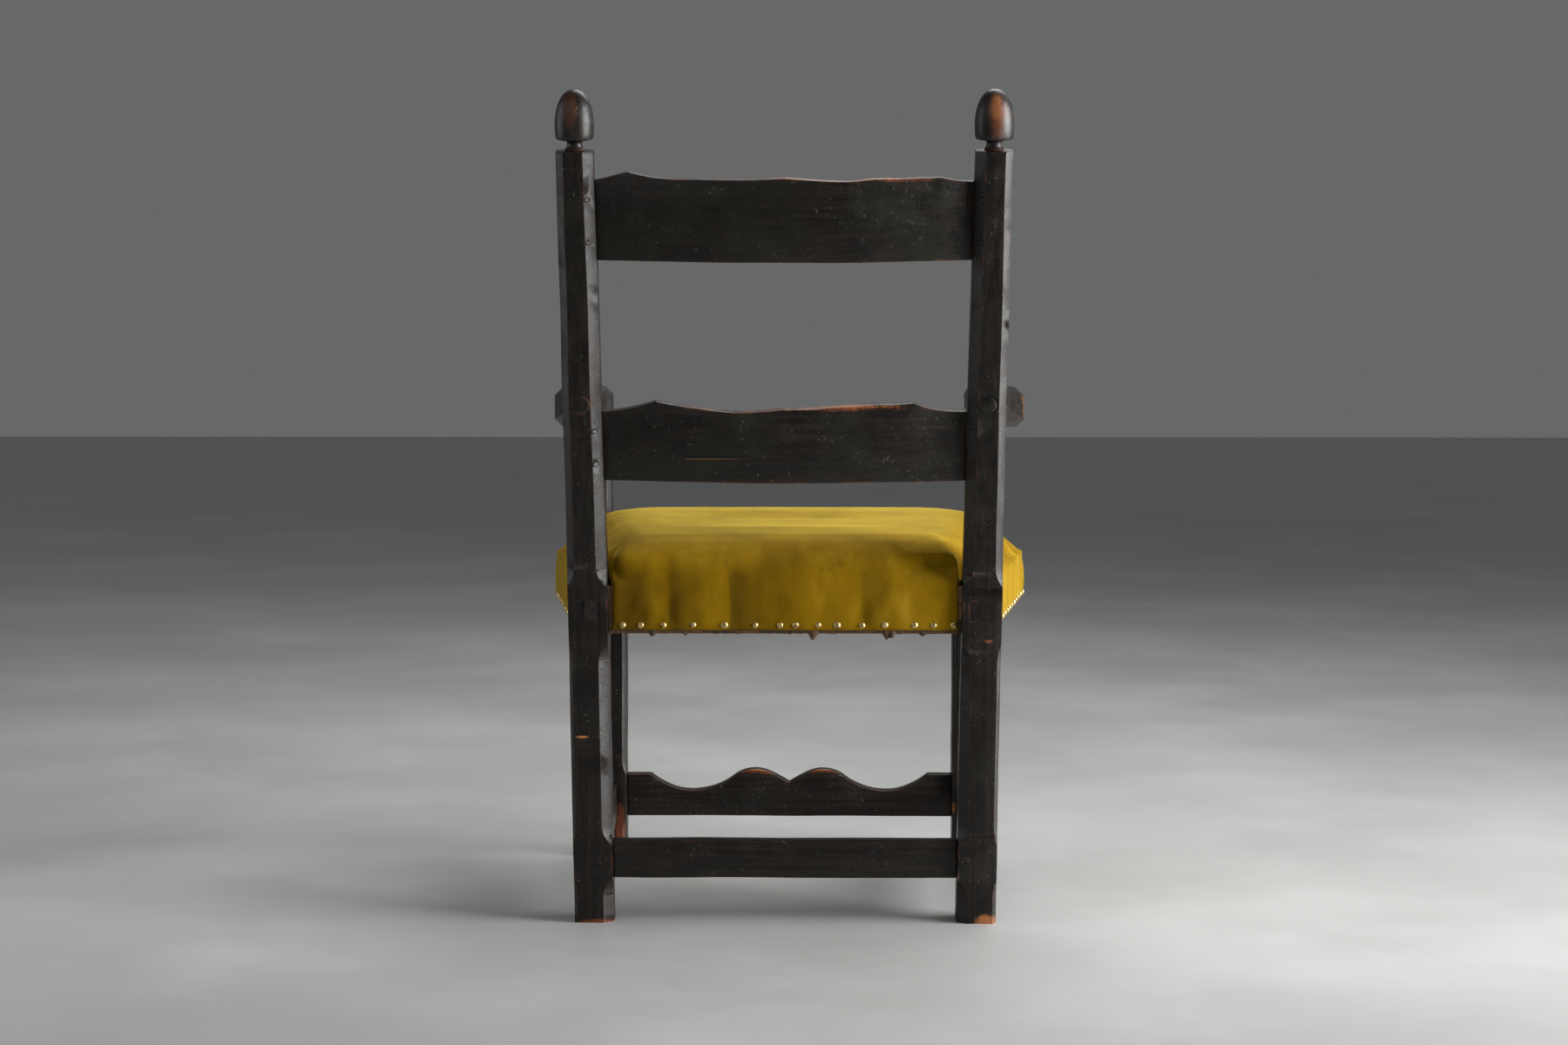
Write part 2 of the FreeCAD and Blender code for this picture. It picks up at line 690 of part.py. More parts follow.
rear_bar = prism("rear_bar", "XZ_Plane", [
    (f"-{post_inner_low('stretcher_bottom')}", "stretcher_bottom"),
    (post_inner_low("stretcher_bottom"), "stretcher_bottom"),
    (post_inner_low(bar_top), bar_top),
    (f"-{post_inner_low(bar_top)}", bar_top),
], "stretcher_thickness", "stretcher_setback")
rear_bar_tenons = []
bar_pegs = []
bar_holes = []
for side, (sign, turn) in sides.items():
    shoulder = at(sign * value(post_inner_low(bar_middle)), value(rear_bar_y), value(bar_middle), turn)
    rear_bar_tenons.append(block(f"rear_bar_tenon_{side}", *tenon_size, shoulder, "stretcher_thickness"))
    peg_x = sign * value(f"{post_inner_low(bar_middle)} + stretcher_peg_inset")
    peg_y = value("stretcher_peg_proud - stretcher_peg_length")
    peg_start = at(peg_x, peg_y, value(bar_middle), rearward_axis)
    bar_pegs.append(shaved("stretcher_peg", "stretcher_peg_diameter", "stretcher_peg_length", peg_start))
    bar_holes.append(shaved("stretcher_peg_hole", "stretcher_peg_diameter + 2 * joint_gap",
                            "stretcher_peg_length * 2", peg_start * at(0, 0, -value("joint_gap"))))
    if side == "left":
        post_cuts.append(bar_holes[-1])
        post_cuts.append(block("rear_bar_mortise", *mortise_size, shoulder, "stretcher_thickness"))
rear_bar_blank = fuse("rear_bar_blank", [rear_bar] + rear_bar_tenons)
nodes["rear_stretcher"] = cut("rear_stretcher", rear_bar_blank, bar_holes)
nodes["stretcher_pegs"] = group("stretcher_pegs", bar_pegs)

scroll_end = f"({leg_inner} - joint_gap)"
scroll_top = "(stretcher_bottom + front_stretcher_end_height)"
hump = "(stretcher_bottom + front_stretcher_hump_height)"
valley = "(stretcher_bottom + front_stretcher_valley_height)"
flat_end = f"({scroll_end} - front_stretcher_flat)"
descent = f"({flat_end} + front_stretcher_valley_offset) / 2"
valley_rim = "(front_stretcher_valley_offset + front_stretcher_hump_offset) / 2"
scroll_half = [
    (scroll_end, scroll_top),
    (flat_end, scroll_top),
    (descent, f"({scroll_top} + {valley}) / 2 - front_stretcher_descent_sag",
     "front_stretcher_valley_offset", valley),
    (valley_rim, f"{valley} + front_stretcher_rim_rise",
     "front_stretcher_flank_offset", f"{hump} - front_stretcher_flank_drop"),
    ("front_stretcher_hump_offset", hump,
     "front_stretcher_hump_offset / 2", f"{hump} - front_stretcher_lobe_drop"),
    ("front_stretcher_cusp_offset", f"{hump} - front_stretcher_cusp_drop",
     "0", "stretcher_bottom + front_stretcher_cusp_height"),
]


# The same run of steps mirrored to the other side and walked the other way.
def reflected(steps):
    corners = [step[-2:] for step in steps]
    result = []
    for index in range(len(steps) - 1, 0, -1):
        way = steps[index][:-2]
        before = corners[index - 1]
        turn = (f"-({way[0]})", way[1]) if way else ()
        result.append(turn + (f"-({before[0]})", before[1]))
    return result


scroll_path = [(f"-{scroll_end}", "stretcher_bottom"), (scroll_end, "stretcher_bottom")]
scroll_path += scroll_half + reflected(scroll_half)
scroll_board = prism("scroll_board", "XZ_Plane", scroll_path, "stretcher_thickness",
                     "leg_reach + leg_depth / 2 - stretcher_thickness / 2")
scroll_tenons = []
for side, (sign, turn) in sides.items():
    shoulder = at(sign * value(scroll_end), value(leg_centre_y), value(bar_middle), turn)
    scroll_tenons.append(block(f"scroll_tenon_{side}", *tenon_size, shoulder, "stretcher_thickness"))
    if side == "left":
        leg_cuts.append(block("scroll_mortise", *mortise_size, shoulder, "stretcher_thickness"))
nodes["front_stretcher"] = fuse("front_stretcher", [scroll_board] + scroll_tenons)

side_rear_x = post_middle(bar_middle)
half_bar = "stretcher_thickness / 2"
side_bar = prism("side_bar", "XY_Plane", [
    (f"{side_rear_x} - {half_bar}", "-post_depth - joint_gap"),
    (f"{leg_middle} - {half_bar}", "-leg_reach + joint_gap"),
    (f"{leg_middle} + {half_bar}", "-leg_reach + joint_gap"),
    (f"{side_rear_x} + {half_bar}", "-post_depth - joint_gap"),
], "stretcher_height", "stretcher_bottom")
rear_joint = at(value(side_rear_x), -value("post_depth + joint_gap"), value(bar_middle), to_rear)
front_joint = at(value(leg_middle), -value("leg_reach - joint_gap"), value(bar_middle), to_front)
side_tenons = [
    block("side_bar_rear_tenon", *tenon_size, rear_joint, "stretcher_thickness"),
    block("side_bar_front_tenon", *tenon_size, front_joint, "stretcher_thickness"),
]
post_cuts.append(block("side_bar_rear_mortise", *mortise_size, rear_joint, "stretcher_thickness"))
leg_cuts.append(block("side_bar_front_mortise", *mortise_size, front_joint, "stretcher_thickness"))
pair("side_stretcher", fuse("side_stretcher_left", [side_bar] + side_tenons))
pair("front_leg", cut("front_leg_left", fuse("leg_blank", [leg_square, leg_tenon]), leg_cuts))


# Outer edge of the seat frame at a depth, grown outwards by a margin square to it.
front_edge = f"({front_reach} + front_rail_depth)"


def frame_side(reach, grow):
    half = "(side_rail_rear_offset + side_rail_thickness / 2)"
    return f"({half} + (({reach}) - post_depth) * tan(side_rail_flare) + ({grow}) / cos(side_rail_flare))"


# Trapezium of the seat with rounded front corners, the frame's outline grown by a margin.
def seat_path(grow):
    rear = f"(rail_setback - ({grow}))"
    front = f"({front_edge} + ({grow}))"
    bow = f"{1 - math.sqrt(0.5):.4f} * front_corner_radius"
    front_side = frame_side(front, grow)
    left = [
        (f"{front_side} - front_corner_radius", f"-{front}"),
        (f"{front_side} - {bow}", f"{bow} - {front}",
         frame_side(f"{front} - front_corner_radius", grow), f"front_corner_radius - {front}"),
        (frame_side(rear, grow), f"-{rear}"),
    ]
    return left + [(f"-({left[-1][-2]})", left[-1][-1])] + reflected(left)


# Seat frame: four rails, the front one rounded at its corners.
rail_middle = "(rail_bottom + rail_height / 2)"
rear_rail_y = "-(rail_setback + rear_rail_thickness / 2)"
rear_rail_board = prism("rear_rail_board", "XZ_Plane", [
    (f"-{post_inner_low('rail_bottom')}", "rail_bottom"),
    (post_inner_low("rail_bottom"), "rail_bottom"),
    (post_inner_low(rail_top), rail_top),
    (f"-{post_inner_low(rail_top)}", rail_top),
], "rear_rail_thickness", "rail_setback")
rear_rail_pieces = [rear_rail_board]
for side, (sign, turn) in sides.items():
    shoulder = at(sign * value(post_inner_low(rail_middle)), value(rear_rail_y), value(rail_middle), turn)
    rear_rail_pieces.append(block(f"rear_rail_tenon_{side}", "rear_rail_tenon_length",
                                  "rear_rail_tenon_thickness", "rear_rail_tenon_height", shoulder,
                                  "rear_rail_thickness"))
    if side == "left":
        post_cuts.append(block("rear_rail_mortise", "rear_rail_tenon_length + joint_gap",
                               "rear_rail_tenon_thickness + 2 * joint_gap",
                               "rear_rail_tenon_height + 2 * joint_gap", shoulder, "rear_rail_thickness"))
rear_rail = fuse("rear_rail_blank", rear_rail_pieces)

side_turn = Rotation(Vector(0, 0, 1), value("side_rail_flare"))
side_front = f"({front_reach} - joint_gap)"
side_front_x = f"(side_rail_rear_offset + ({side_front} - post_depth) * tan(side_rail_flare))"
half_side = "side_rail_thickness / 2"
strap_top = f"{rail_top} + strap_thickness"
side_board = prism("side_board", "XY_Plane", [
    (f"side_rail_rear_offset - {half_side}", "-post_depth - joint_gap"),
    (f"{side_front_x} - {half_side}", f"-{side_front}"),
    (f"{side_front_x} + {half_side}", f"-{side_front}"),
    (f"side_rail_rear_offset + {half_side}", "-post_depth - joint_gap"),
], "rail_height + strap_thickness", "rail_bottom")
rear_seat = at(value("side_rail_rear_offset"), -value("post_depth"), value(rail_middle), side_turn * to_rear)
front_seat = at(value(side_front_x), -value(side_front), value(rail_middle), side_turn * to_front)
through = ("post_depth / cos(side_rail_flare)", "side_rail_tenon_width", "side_rail_tenon_height")
stub = ("side_rail_front_tenon", "side_rail_tenon_width", "side_rail_tenon_height")
side_pieces = [
    side_board,
    block("side_rail_through_tenon", *through, rear_seat, "side_rail_thickness"),
    block("side_rail_front_stub", *stub, front_seat, "side_rail_thickness"),
]
grown = ("side_rail_tenon_width + 2 * joint_gap", "side_rail_tenon_height + 2 * joint_gap")
post_cuts.append(block("side_rail_rear_mortise", f"{through[0]} + post_depth", *grown, rear_seat,
                       "post_depth"))
side_rail = fuse("side_rail_blank", side_pieces)

front_plan = prism("front_plan", "XY_Plane", seat_path("0"), "rail_height", "rail_bottom")
front_strip = prism("front_strip", "XY_Plane", [
    ("-leg_spacing", f"-{front_reach}"),
    ("-leg_spacing", f"-{front_reach} - 2 * front_rail_depth"),
    ("leg_spacing", f"-{front_reach} - 2 * front_rail_depth"),
    ("leg_spacing", f"-{front_reach}"),
], "2 * rail_height", "rail_bottom - rail_height / 2")
front_board = common("front_board", front_plan, front_strip)
front_mortise = block("side_rail_front_mortise", "side_rail_front_tenon + joint_gap", *grown, front_seat,
                      "side_rail_thickness")
front_cuts = []
for tool in (leg_mortise, spindle_hole, front_mortise):
    front_cuts += [tool, mirrored(tool.Name + "_right", tool)]
front_rail = cut("front_rail_blank", front_board, front_cuts)

pair("rear_post", cut("rear_post_left", post_blank, post_cuts))

# Webbing: lengthwise straps tacked on the front and rear rails, crosswise ones over them on the side rails.
long_start = "(rail_setback + rear_rail_thickness - strap_lap)"
long_length = f"{front_reach} + strap_lap - {long_start}"
long_straps = []
strap_count = int(value("strap_count"))
for column_index in range(strap_count):
    strap_x = (column_index - (strap_count - 1) / 2) * value("long_strap_pitch")
    start = at(strap_x, -value(long_start), value(rail_top), to_front)
    seat = start * at(0, 0, value("strap_thickness") / 2)
    long_straps.append(block("long_strap", long_length, "strap_width", "strap_thickness", seat))
nodes["webbing_lengthwise"] = group("webbing_lengthwise", long_straps)
cross_straps = []
for row_index in range(strap_count):
    reach = f"(cross_strap_reach + {row_index} * cross_strap_pitch)"
    half = value(frame_side(f"{reach} - strap_width / 2", "strap_lap - side_rail_thickness"))
    strap = doc.addObject("Part::Box", "cross_strap")
    strap.Length = 2 * half
    strap.setExpression("Width", formula("strap_width"))
    strap.setExpression("Height", formula("strap_thickness"))
    strap.Placement = at(-half, -value(f"{reach} + strap_width / 2"), value(strap_top))
    cross_straps.append(strap)
nodes["webbing_crosswise"] = group("webbing_crosswise", cross_straps)

# Openings in the soft layers where the rear posts and the arm supports stand.
hessian_bottom = f"({strap_top} + strap_thickness)"
hessian_top = f"({hessian_bottom} + hessian_thickness)"
tall = "2 * seat_crown_height"


def standing_room(name, gap):
    post_x = value(f"{post_middle('rail_bottom')} - post_width / 2 - ({gap})")
    post_y = value(f"-post_depth - ({gap})")
    corner = at(post_x, post_y + value("post_depth"), 0)
    post_room = block(f"{name}_post", "2 * post_width", "2 * post_depth", tall, corner)
    support_size = f"support_foot_width + 2 * ({gap})"
    support_room = block(f"{name}_support", support_size, support_size, tall,
                         at(value("support_offset") - value(support_size) / 2, support_y, 0))
    rooms = [post_room, support_room]
    return rooms + [mirrored(room.Name + "_right", room) for room in rooms]


hessian_blank = prism("hessian_blank", "XY_Plane", seat_path("-hessian_margin"), "hessian_thickness",
                      hessian_bottom)
nodes["hessian_sheet"] = cut("hessian_sheet", hessian_blank, standing_room("hessian_room", "standing_gap"))


# Levels of the crowned seat, from the hem up: how far each stands out from the frame, and its height.
# Front and rear swell and roll over; the flanks slope in; an inset draws a level in and lowers it by a share.
hem_levels = [
    ("velvet_hem_stand", "velvet_hem_height", 0),
    ("velvet_tuck_stand", "velvet_tuck_height", 0),
]
end_levels = hem_levels + [("seat_bulge", "seat_bulge_height", 0)]
for angle in (0, 35, 70):
    roll_stand = f"seat_bulge - seat_roll_radius * (1 - cos({angle}))"
    roll_height = f"seat_roll_height + seat_roll_radius * sin({angle})"
    end_levels.append((roll_stand, roll_height, math.sin(math.radians(angle))))
end_levels += [
    ("-seat_shoulder_draw", "seat_shoulder_height", 1),
    ("-seat_crown_draw", "seat_crown_height", 1),
]
flank_levels = hem_levels + [
    ("flank_bulge", "flank_bulge_height", 0),
    ("-flank_roll_draw", "flank_roll_height", 0.5),
    ("-flank_slope_draw", "flank_slope_height", 0.8),
    ("-flank_shoulder_draw", "flank_shoulder_height", 1),
    ("-flank_crown_draw", "seat_crown_height", 1),
]


def drawn_in(levels, inset):
    return [(f"({stand} - ({inset}))", f"{height} - {share:.4f} * ({inset})")
            for stand, height, share in levels]


# The seat's side view crossed with the profiles of its flared flanks and with its rounded plan.
def seat_form(name, inset):
    ends = drawn_in(end_levels, inset)
    rear = [(f"{stand} - rail_setback", height) for stand, height in ends]
    front = [(f"-{front_edge} - {stand}", height) for stand, height in reversed(ends)]
    side_view = prism(f"{name}_side_view", "YZ_Plane", rear + front, "4 * leg_spacing")
    across = "-4 * leg_spacing"
    slope = drawn_in(flank_levels, inset)
    closing = [(across, slope[-1][1]), (across, slope[0][1])]
    flank = prism(f"{name}_flank", "XZ_Plane", slope + closing, "4 * leg_reach")
    flank.Placement = at(value(frame_side("0", "0")), 0, 0, side_turn)
    flanks = common(f"{name}_flanks", flank, mirrored(f"{name}_flank_right", flank))
    plan = prism(f"{name}_plan", "XY_Plane", seat_path(f"seat_bulge + joint_gap - ({inset})"), tall, "0")
    return common(name, common(f"{name}_bands", side_view, flanks), plan)


# Everything under a height, to trim a soft layer level.
def below(name, height):
    return block(name, "2 * leg_spacing", "4 * leg_reach", height,
                 at(-value("leg_spacing"), 0, value(height) / 2))


cover_room = standing_room("cover_room", "standing_gap")
core_room = standing_room("core_room", "standing_gap + velvet_thickness")
cover_outer = cut("cover_outer", seat_form("cover_form", "0"), cover_room)
cover_hollow = cut("cover_hollow", seat_form("cover_core", "velvet_thickness"), core_room)
cover_blank = cut("cover_blank", cover_outer, [cover_hollow])
stuffing_room = standing_room("stuffing_room", "standing_gap + velvet_thickness + soft_gap")
nodes["seat_stuffing"] = cut("seat_stuffing", seat_form("stuffing_form", "velvet_thickness + soft_gap"),
                             [below("under_stuffing", f"({hessian_top} + soft_gap)")] + stuffing_room)

# Strip of old leather left under the velvet along the rear rail.
leather_y = "-(rail_setback - leather_thickness / 2)"
leather_half = f"({post_inner_low('rail_bottom')} - leather_end_gap)"
strip = block("leather_strip", f"2 * {leather_half}", "leather_thickness", "leather_height",
              at(-value(leather_half), value(leather_y), value("rail_bottom + leather_height / 2")))

# Hammered nails: one eight-sided head on a square shank, repeated along each side of the hem.
nail_facet = "nail_head_diameter * (1 - tan(22.5)) / 2"
nail_outline = octagon_path("nail_head_diameter", "nail_head_diameter", nail_facet)
nail_head = prism("nail_head", "XY_Plane", nail_outline, "nail_head_height", "0", "nail_head_taper")
nail_shank = block("nail_shank", "nail_shank_length", "nail_shank_width", "nail_shank_width",
                   at(0, 0, -value("nail_shank_length"), upwards))
nail = fuse("nail", [nail_head, nail_shank])
doc.recompute()

# The nails lean with the tucked band of the velvet that they hold.
tuck = math.atan(value("(velvet_tuck_stand - velvet_hem_stand) / (velvet_tuck_height - velvet_hem_height)"))
nail_share = "(nail_height - velvet_hem_height) / (velvet_tuck_height - velvet_hem_height)"
nail_stand = value(f"velvet_hem_stand + (velvet_tuck_stand - velvet_hem_stand) * {nail_share} + joint_gap")
nail_z = value("nail_height")


def nail_row(name, start, finish, outward, pitch):
    run = finish - start
    count = round(run.Length / value(pitch)) + 1
    pose = Rotation(Vector(0, 0, 1), outward * math.cos(tuck) - Vector(0, 0, math.sin(tuck)))
    nails = []
    for index in range(count):
        copy = nail.Shape.copy()
        copy.Placement = Placement(start + run * (index / (count - 1)), pose)
        nails.append(copy)
    return solid(name, Part.makeCompound(nails))


margin = value("nail_end_margin")
rear_y = -value("rail_setback") + nail_stand
front_y = -value(front_edge) - nail_stand
rear_x = value(post_inner_low("rail_bottom")) - margin
front_x = value(f"{frame_side(front_edge, '0')} - front_corner_radius") - margin
side_rear = value("post_depth") + margin
side_ahead = value(f"{front_edge} - front_corner_radius") - margin
lean = math.radians(value("side_rail_flare"))
side_normal = Vector(math.cos(lean), math.sin(lean), 0)


def side_spot(reach):
    return Vector(value(frame_side(str(reach), str(nail_stand))), -reach, nail_z)


nails_rear = nail_row("nails_rear", Vector(rear_x, rear_y, nail_z), Vector(-rear_x, rear_y, nail_z),
                      Vector(0, 1, 0), "rear_nail_pitch")
nails_front = nail_row("nails_front", Vector(-front_x, front_y, nail_z), Vector(front_x, front_y, nail_z),
                       Vector(0, -1, 0), "side_nail_pitch")
nails_left = nail_row("nails_left", side_spot(side_rear), side_spot(side_ahead), side_normal,
                      "side_nail_pitch")
nails_right = mirrored("nails_right", nails_left)
nodes["nails_rear"] = nails_rear
nodes["nails_front"] = nails_front
nodes["nails_left"] = nails_left
nodes["nails_right"] = nails_right
nodes["leather_strip"] = cut("leather_strip_nailed", strip, [nails_rear])
nodes["rear_seat_rail"] = cut("rear_seat_rail", rear_rail, [nails_rear])
nodes["front_seat_rail"] = cut("front_seat_rail", front_rail, [nails_front])
pair("side_seat_rail", cut("side_seat_rail_left", side_rail, [nails_left]))
nodes["velvet_cover"] = cut("velvet_cover", cover_blank, [nails_rear, nails_front, nails_left, nails_right])

doc.recompute()

# Every sub-part is placed so that the origin lies on the floor under the middle of the whole chair.
whole = Part.makeCompound([piece.Shape for piece in nodes.values()]).optimalBoundingBox()
placed = {}
for name, piece in nodes.items():
    placed[name] = group(f"placed_{name}", [piece])
    placed[name].Label = name
    placed[name].Placement = at(0, -(whole.YMin + whole.YMax) / 2, 0)
doc.recompute()

for item in doc.Objects:
    if "Invalid" in item.State or "Error" in item.State:
        raise RuntimeError(f"{item.Label} did not build: {item.State}")
for name, piece in placed.items():
    if piece.Shape.isNull() or not piece.Shape.isValid() or not piece.Shape.Solids:
        raise RuntimeError(f"{name} is not a sound solid")

os.makedirs("parts", exist_ok=True)
for name, piece in placed.items():
    piece.Shape.exportStep(f"parts/{name}.step")
print(f"{len(nodes)} sub-parts, {whole.XLength:.1f} x {whole.YLength:.1f} x {whole.ZLength:.1f} mm")
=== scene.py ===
import math

import bmesh
import bpy
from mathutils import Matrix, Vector, noise


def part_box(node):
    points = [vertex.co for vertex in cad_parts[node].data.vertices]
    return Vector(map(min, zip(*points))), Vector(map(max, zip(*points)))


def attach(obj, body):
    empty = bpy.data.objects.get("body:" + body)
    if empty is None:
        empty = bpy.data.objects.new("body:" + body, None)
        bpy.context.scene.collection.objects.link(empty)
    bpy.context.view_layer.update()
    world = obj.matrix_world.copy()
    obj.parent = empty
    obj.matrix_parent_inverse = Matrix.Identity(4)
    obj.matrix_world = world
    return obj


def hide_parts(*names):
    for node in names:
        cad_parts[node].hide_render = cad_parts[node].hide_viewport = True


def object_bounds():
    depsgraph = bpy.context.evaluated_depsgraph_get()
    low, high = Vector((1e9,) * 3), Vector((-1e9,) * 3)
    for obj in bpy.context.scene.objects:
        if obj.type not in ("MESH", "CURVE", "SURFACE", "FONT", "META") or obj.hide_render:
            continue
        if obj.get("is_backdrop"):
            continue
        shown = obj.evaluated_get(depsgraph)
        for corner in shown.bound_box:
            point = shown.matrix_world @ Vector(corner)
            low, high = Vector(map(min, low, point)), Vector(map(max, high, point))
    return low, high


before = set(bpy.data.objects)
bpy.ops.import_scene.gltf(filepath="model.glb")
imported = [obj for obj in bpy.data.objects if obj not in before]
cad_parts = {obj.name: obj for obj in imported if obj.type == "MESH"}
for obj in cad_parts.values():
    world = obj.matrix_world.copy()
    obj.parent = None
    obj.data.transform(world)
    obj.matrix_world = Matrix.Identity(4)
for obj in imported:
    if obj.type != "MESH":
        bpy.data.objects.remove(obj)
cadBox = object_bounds()
mm = 0.001
weld = 0.01 * mm  # corners of a solid nearer than this are one


# A shader socket that can be used in sums; node() adds any other node.
class Wire:
    def __init__(self, tree, socket=None):
        self.tree = tree
        self.socket = socket

    def node(self, kind, settings=None, sockets=None, out=0):
        made = self.tree.nodes.new(kind)
        for key, setting in (settings or {}).items():
            setattr(made, key, setting)
        for key, given in (sockets or {}).items():
            if isinstance(given, Wire):
                self.tree.links.new(given.socket, made.inputs[key])
            else:
                made.inputs[key].default_value = given
        return Wire(self.tree, made.outputs[out])

    def math(self, operation, first, second):
        return self.node("ShaderNodeMath", {"operation": operation}, {0: first, 1: second})

    def __add__(self, other):
        return self.math("ADD", self, other)

    def __radd__(self, other):
        return self.math("ADD", other, self)

    def __sub__(self, other):
        return self.math("SUBTRACT", self, other)

    def __rsub__(self, other):
        return self.math("SUBTRACT", other, self)

    def __mul__(self, other):
        return self.math("MULTIPLY", self, other)

    def __rmul__(self, other):
        return self.math("MULTIPLY", other, self)

    # a length or a dot product leaves by the second socket
    def vector(self, operation, *given):
        out = 1 if operation in ("DOT_PRODUCT", "LENGTH") else 0
        return self.node("ShaderNodeVectorMath", {"operation": operation}, dict(enumerate(given)), out)

    def part(self, axis):
        return self.node("ShaderNodeSeparateXYZ", {}, {0: self}, out="xyz".index(axis))

    def step(self, low, high):
        return self.node("ShaderNodeMapRange", {"interpolation_type": "SMOOTHSTEP"},
                         {"Value": self, "From Min": low, "From Max": high})

    def tint(self, factor, first, second):
        return self.node("ShaderNodeMix", {"data_type": "RGBA"}, {0: factor, 6: first, 7: second}, out=2)

    def speckle(self, place, scale, detail=3.0, rough=0.5):
        return self.node("ShaderNodeTexNoise", {}, {"Vector": place, "Scale": scale, "Detail": detail,
                                                    "Roughness": rough})

    def stretch(self, place, scale, turn=(0, 0, 0)):
        return self.node("ShaderNodeMapping", {}, {"Vector": place, "Scale": scale, "Rotation": turn})


def rgb(red, green, blue):
    return (red, green, blue, 1.0)


# New material with its shader, a place to hang nodes from, and object coordinates.
def finish(name, fixed):
    material = bpy.data.materials.new(name)
    material.use_nodes = True
    tree = material.node_tree
    shader = tree.nodes["Principled BSDF"]
    for socket, setting in fixed.items():
        shader.inputs[socket].default_value = setting
    start = Wire(tree)
    place = start.node("ShaderNodeTexCoord", out=3)
    return material, shader, start, place


def plug(shader, socket, wire):
    wire.tree.links.new(wire.socket, shader.inputs[socket])


def raised(wire, shader, strength, depth):
    bump = wire.node("ShaderNodeBump", {}, {"Height": wire, "Strength": strength, "Distance": depth})
    plug(shader, "Normal", bump)


# Old black stain: brown-black in the hollows of the grain, red and orange wood on rubbed arrises.
woodLook = {
    "deep": rgb(0.0045, 0.0040, 0.0034),
    "warm": rgb(0.0165, 0.0112, 0.0078),
    "olive": rgb(0.0125, 0.0130, 0.0078),
    "rubbed": rgb(0.135, 0.037, 0.014),
    "bare": rgb(0.36, 0.135, 0.042),
    "dust": rgb(0.20, 0.185, 0.155),
    # dark cracks; the same colour is also painted shade in a broken tenon hole
    "splitAndHoleShade": rgb(0.0015, 0.0012, 0.001),
    "arris": 3.2 * mm,
    "scratchScale": (140, 9, 140),
    "scratchTurn": (0.4, 0.9, 0.3),
}
grainScale = {"x": (1.5, 46, 46), "y": (46, 1.5, 46), "z": (46, 46, 1.5)}

# Places rubbed, knocked or split, and the painted shade of a broken tenon hole, in millimetres: centre, reach
# along each axis, colour and strength.
knocks = {
    "finial": [
        ((-261, 312, 1020), (15, 18, 30), "rubbed", 0.6),
        ((-259, 312, 1028), (8, 18, 22), "bare", 0.45),
        ((263, 312, 1030), (11, 30, 32), "rubbed", 0.42),
    ],
    "post": [
        ((257, 226, 239), (9, 6, 1.8), "bare", 1.0),
        ((-254, 222, 3), (16, 14, 11), "bare", 0.8),
        ((-246, 226, 26), (1.3, 8, 30), "splitAndHoleShade", 1.0),
        ((-241, 226, 16), (1.0, 8, 16), "splitAndHoleShade", 1.0),
        ((243, 222, 0), (30, 30, 5), "rubbed", 1.0),
        ((-258, 226, 362), (6, 6, 2.5), "rubbed", 1.0),
        # painted shade of the broken tenon hole where the right arm goes through its post
        ((-255, 262, 669), (12, 9, 9), "splitAndHoleShade", 0.9),
        ((-234, -238, 72), (3, 10, 9), "bare", 0.7),
        ((241, -240, 42), (9, 20, 40), "rubbed", 0.8),
    ],
    "slat": [
        ((-70, 290, 942), (120, 40, 6), "rubbed", 1.0),
        ((-60, 290, 942), (95, 40, 3.5), "bare", 0.8),
        ((-15, 245, 659), (150, 30, 6), "rubbed", 1.0),
        ((-70, 245, 660), (85, 30, 3), "bare", 0.6),
        ((98, 250, 597), (60, 30, 1.2), "splitAndHoleShade", 1.0),
        ((92, 250, 594), (45, 30, 0.8), "bare", 0.35),
    ],
    "arm": [
        ((-328, -290, 640), (10, 60, 26), "bare", 0.7),
        ((322, -290, 655), (14, 60, 12), "rubbed", 0.8),
        # painted shade of the broken tenon hole, on the end of the right arm's tenon
        ((-255, 262, 669), (11, 12, 8), "splitAndHoleShade", 0.9),
    ],
    "scroll": [
        ((0, -250, 122), (95, 12, 5), "rubbed", 0.8),
        ((38, -250, 124), (34, 9, 2.5), "bare", 0.5),
        ((-38, -250, 124), (34, 9, 2.5), "bare", 0.5),
    ],
}


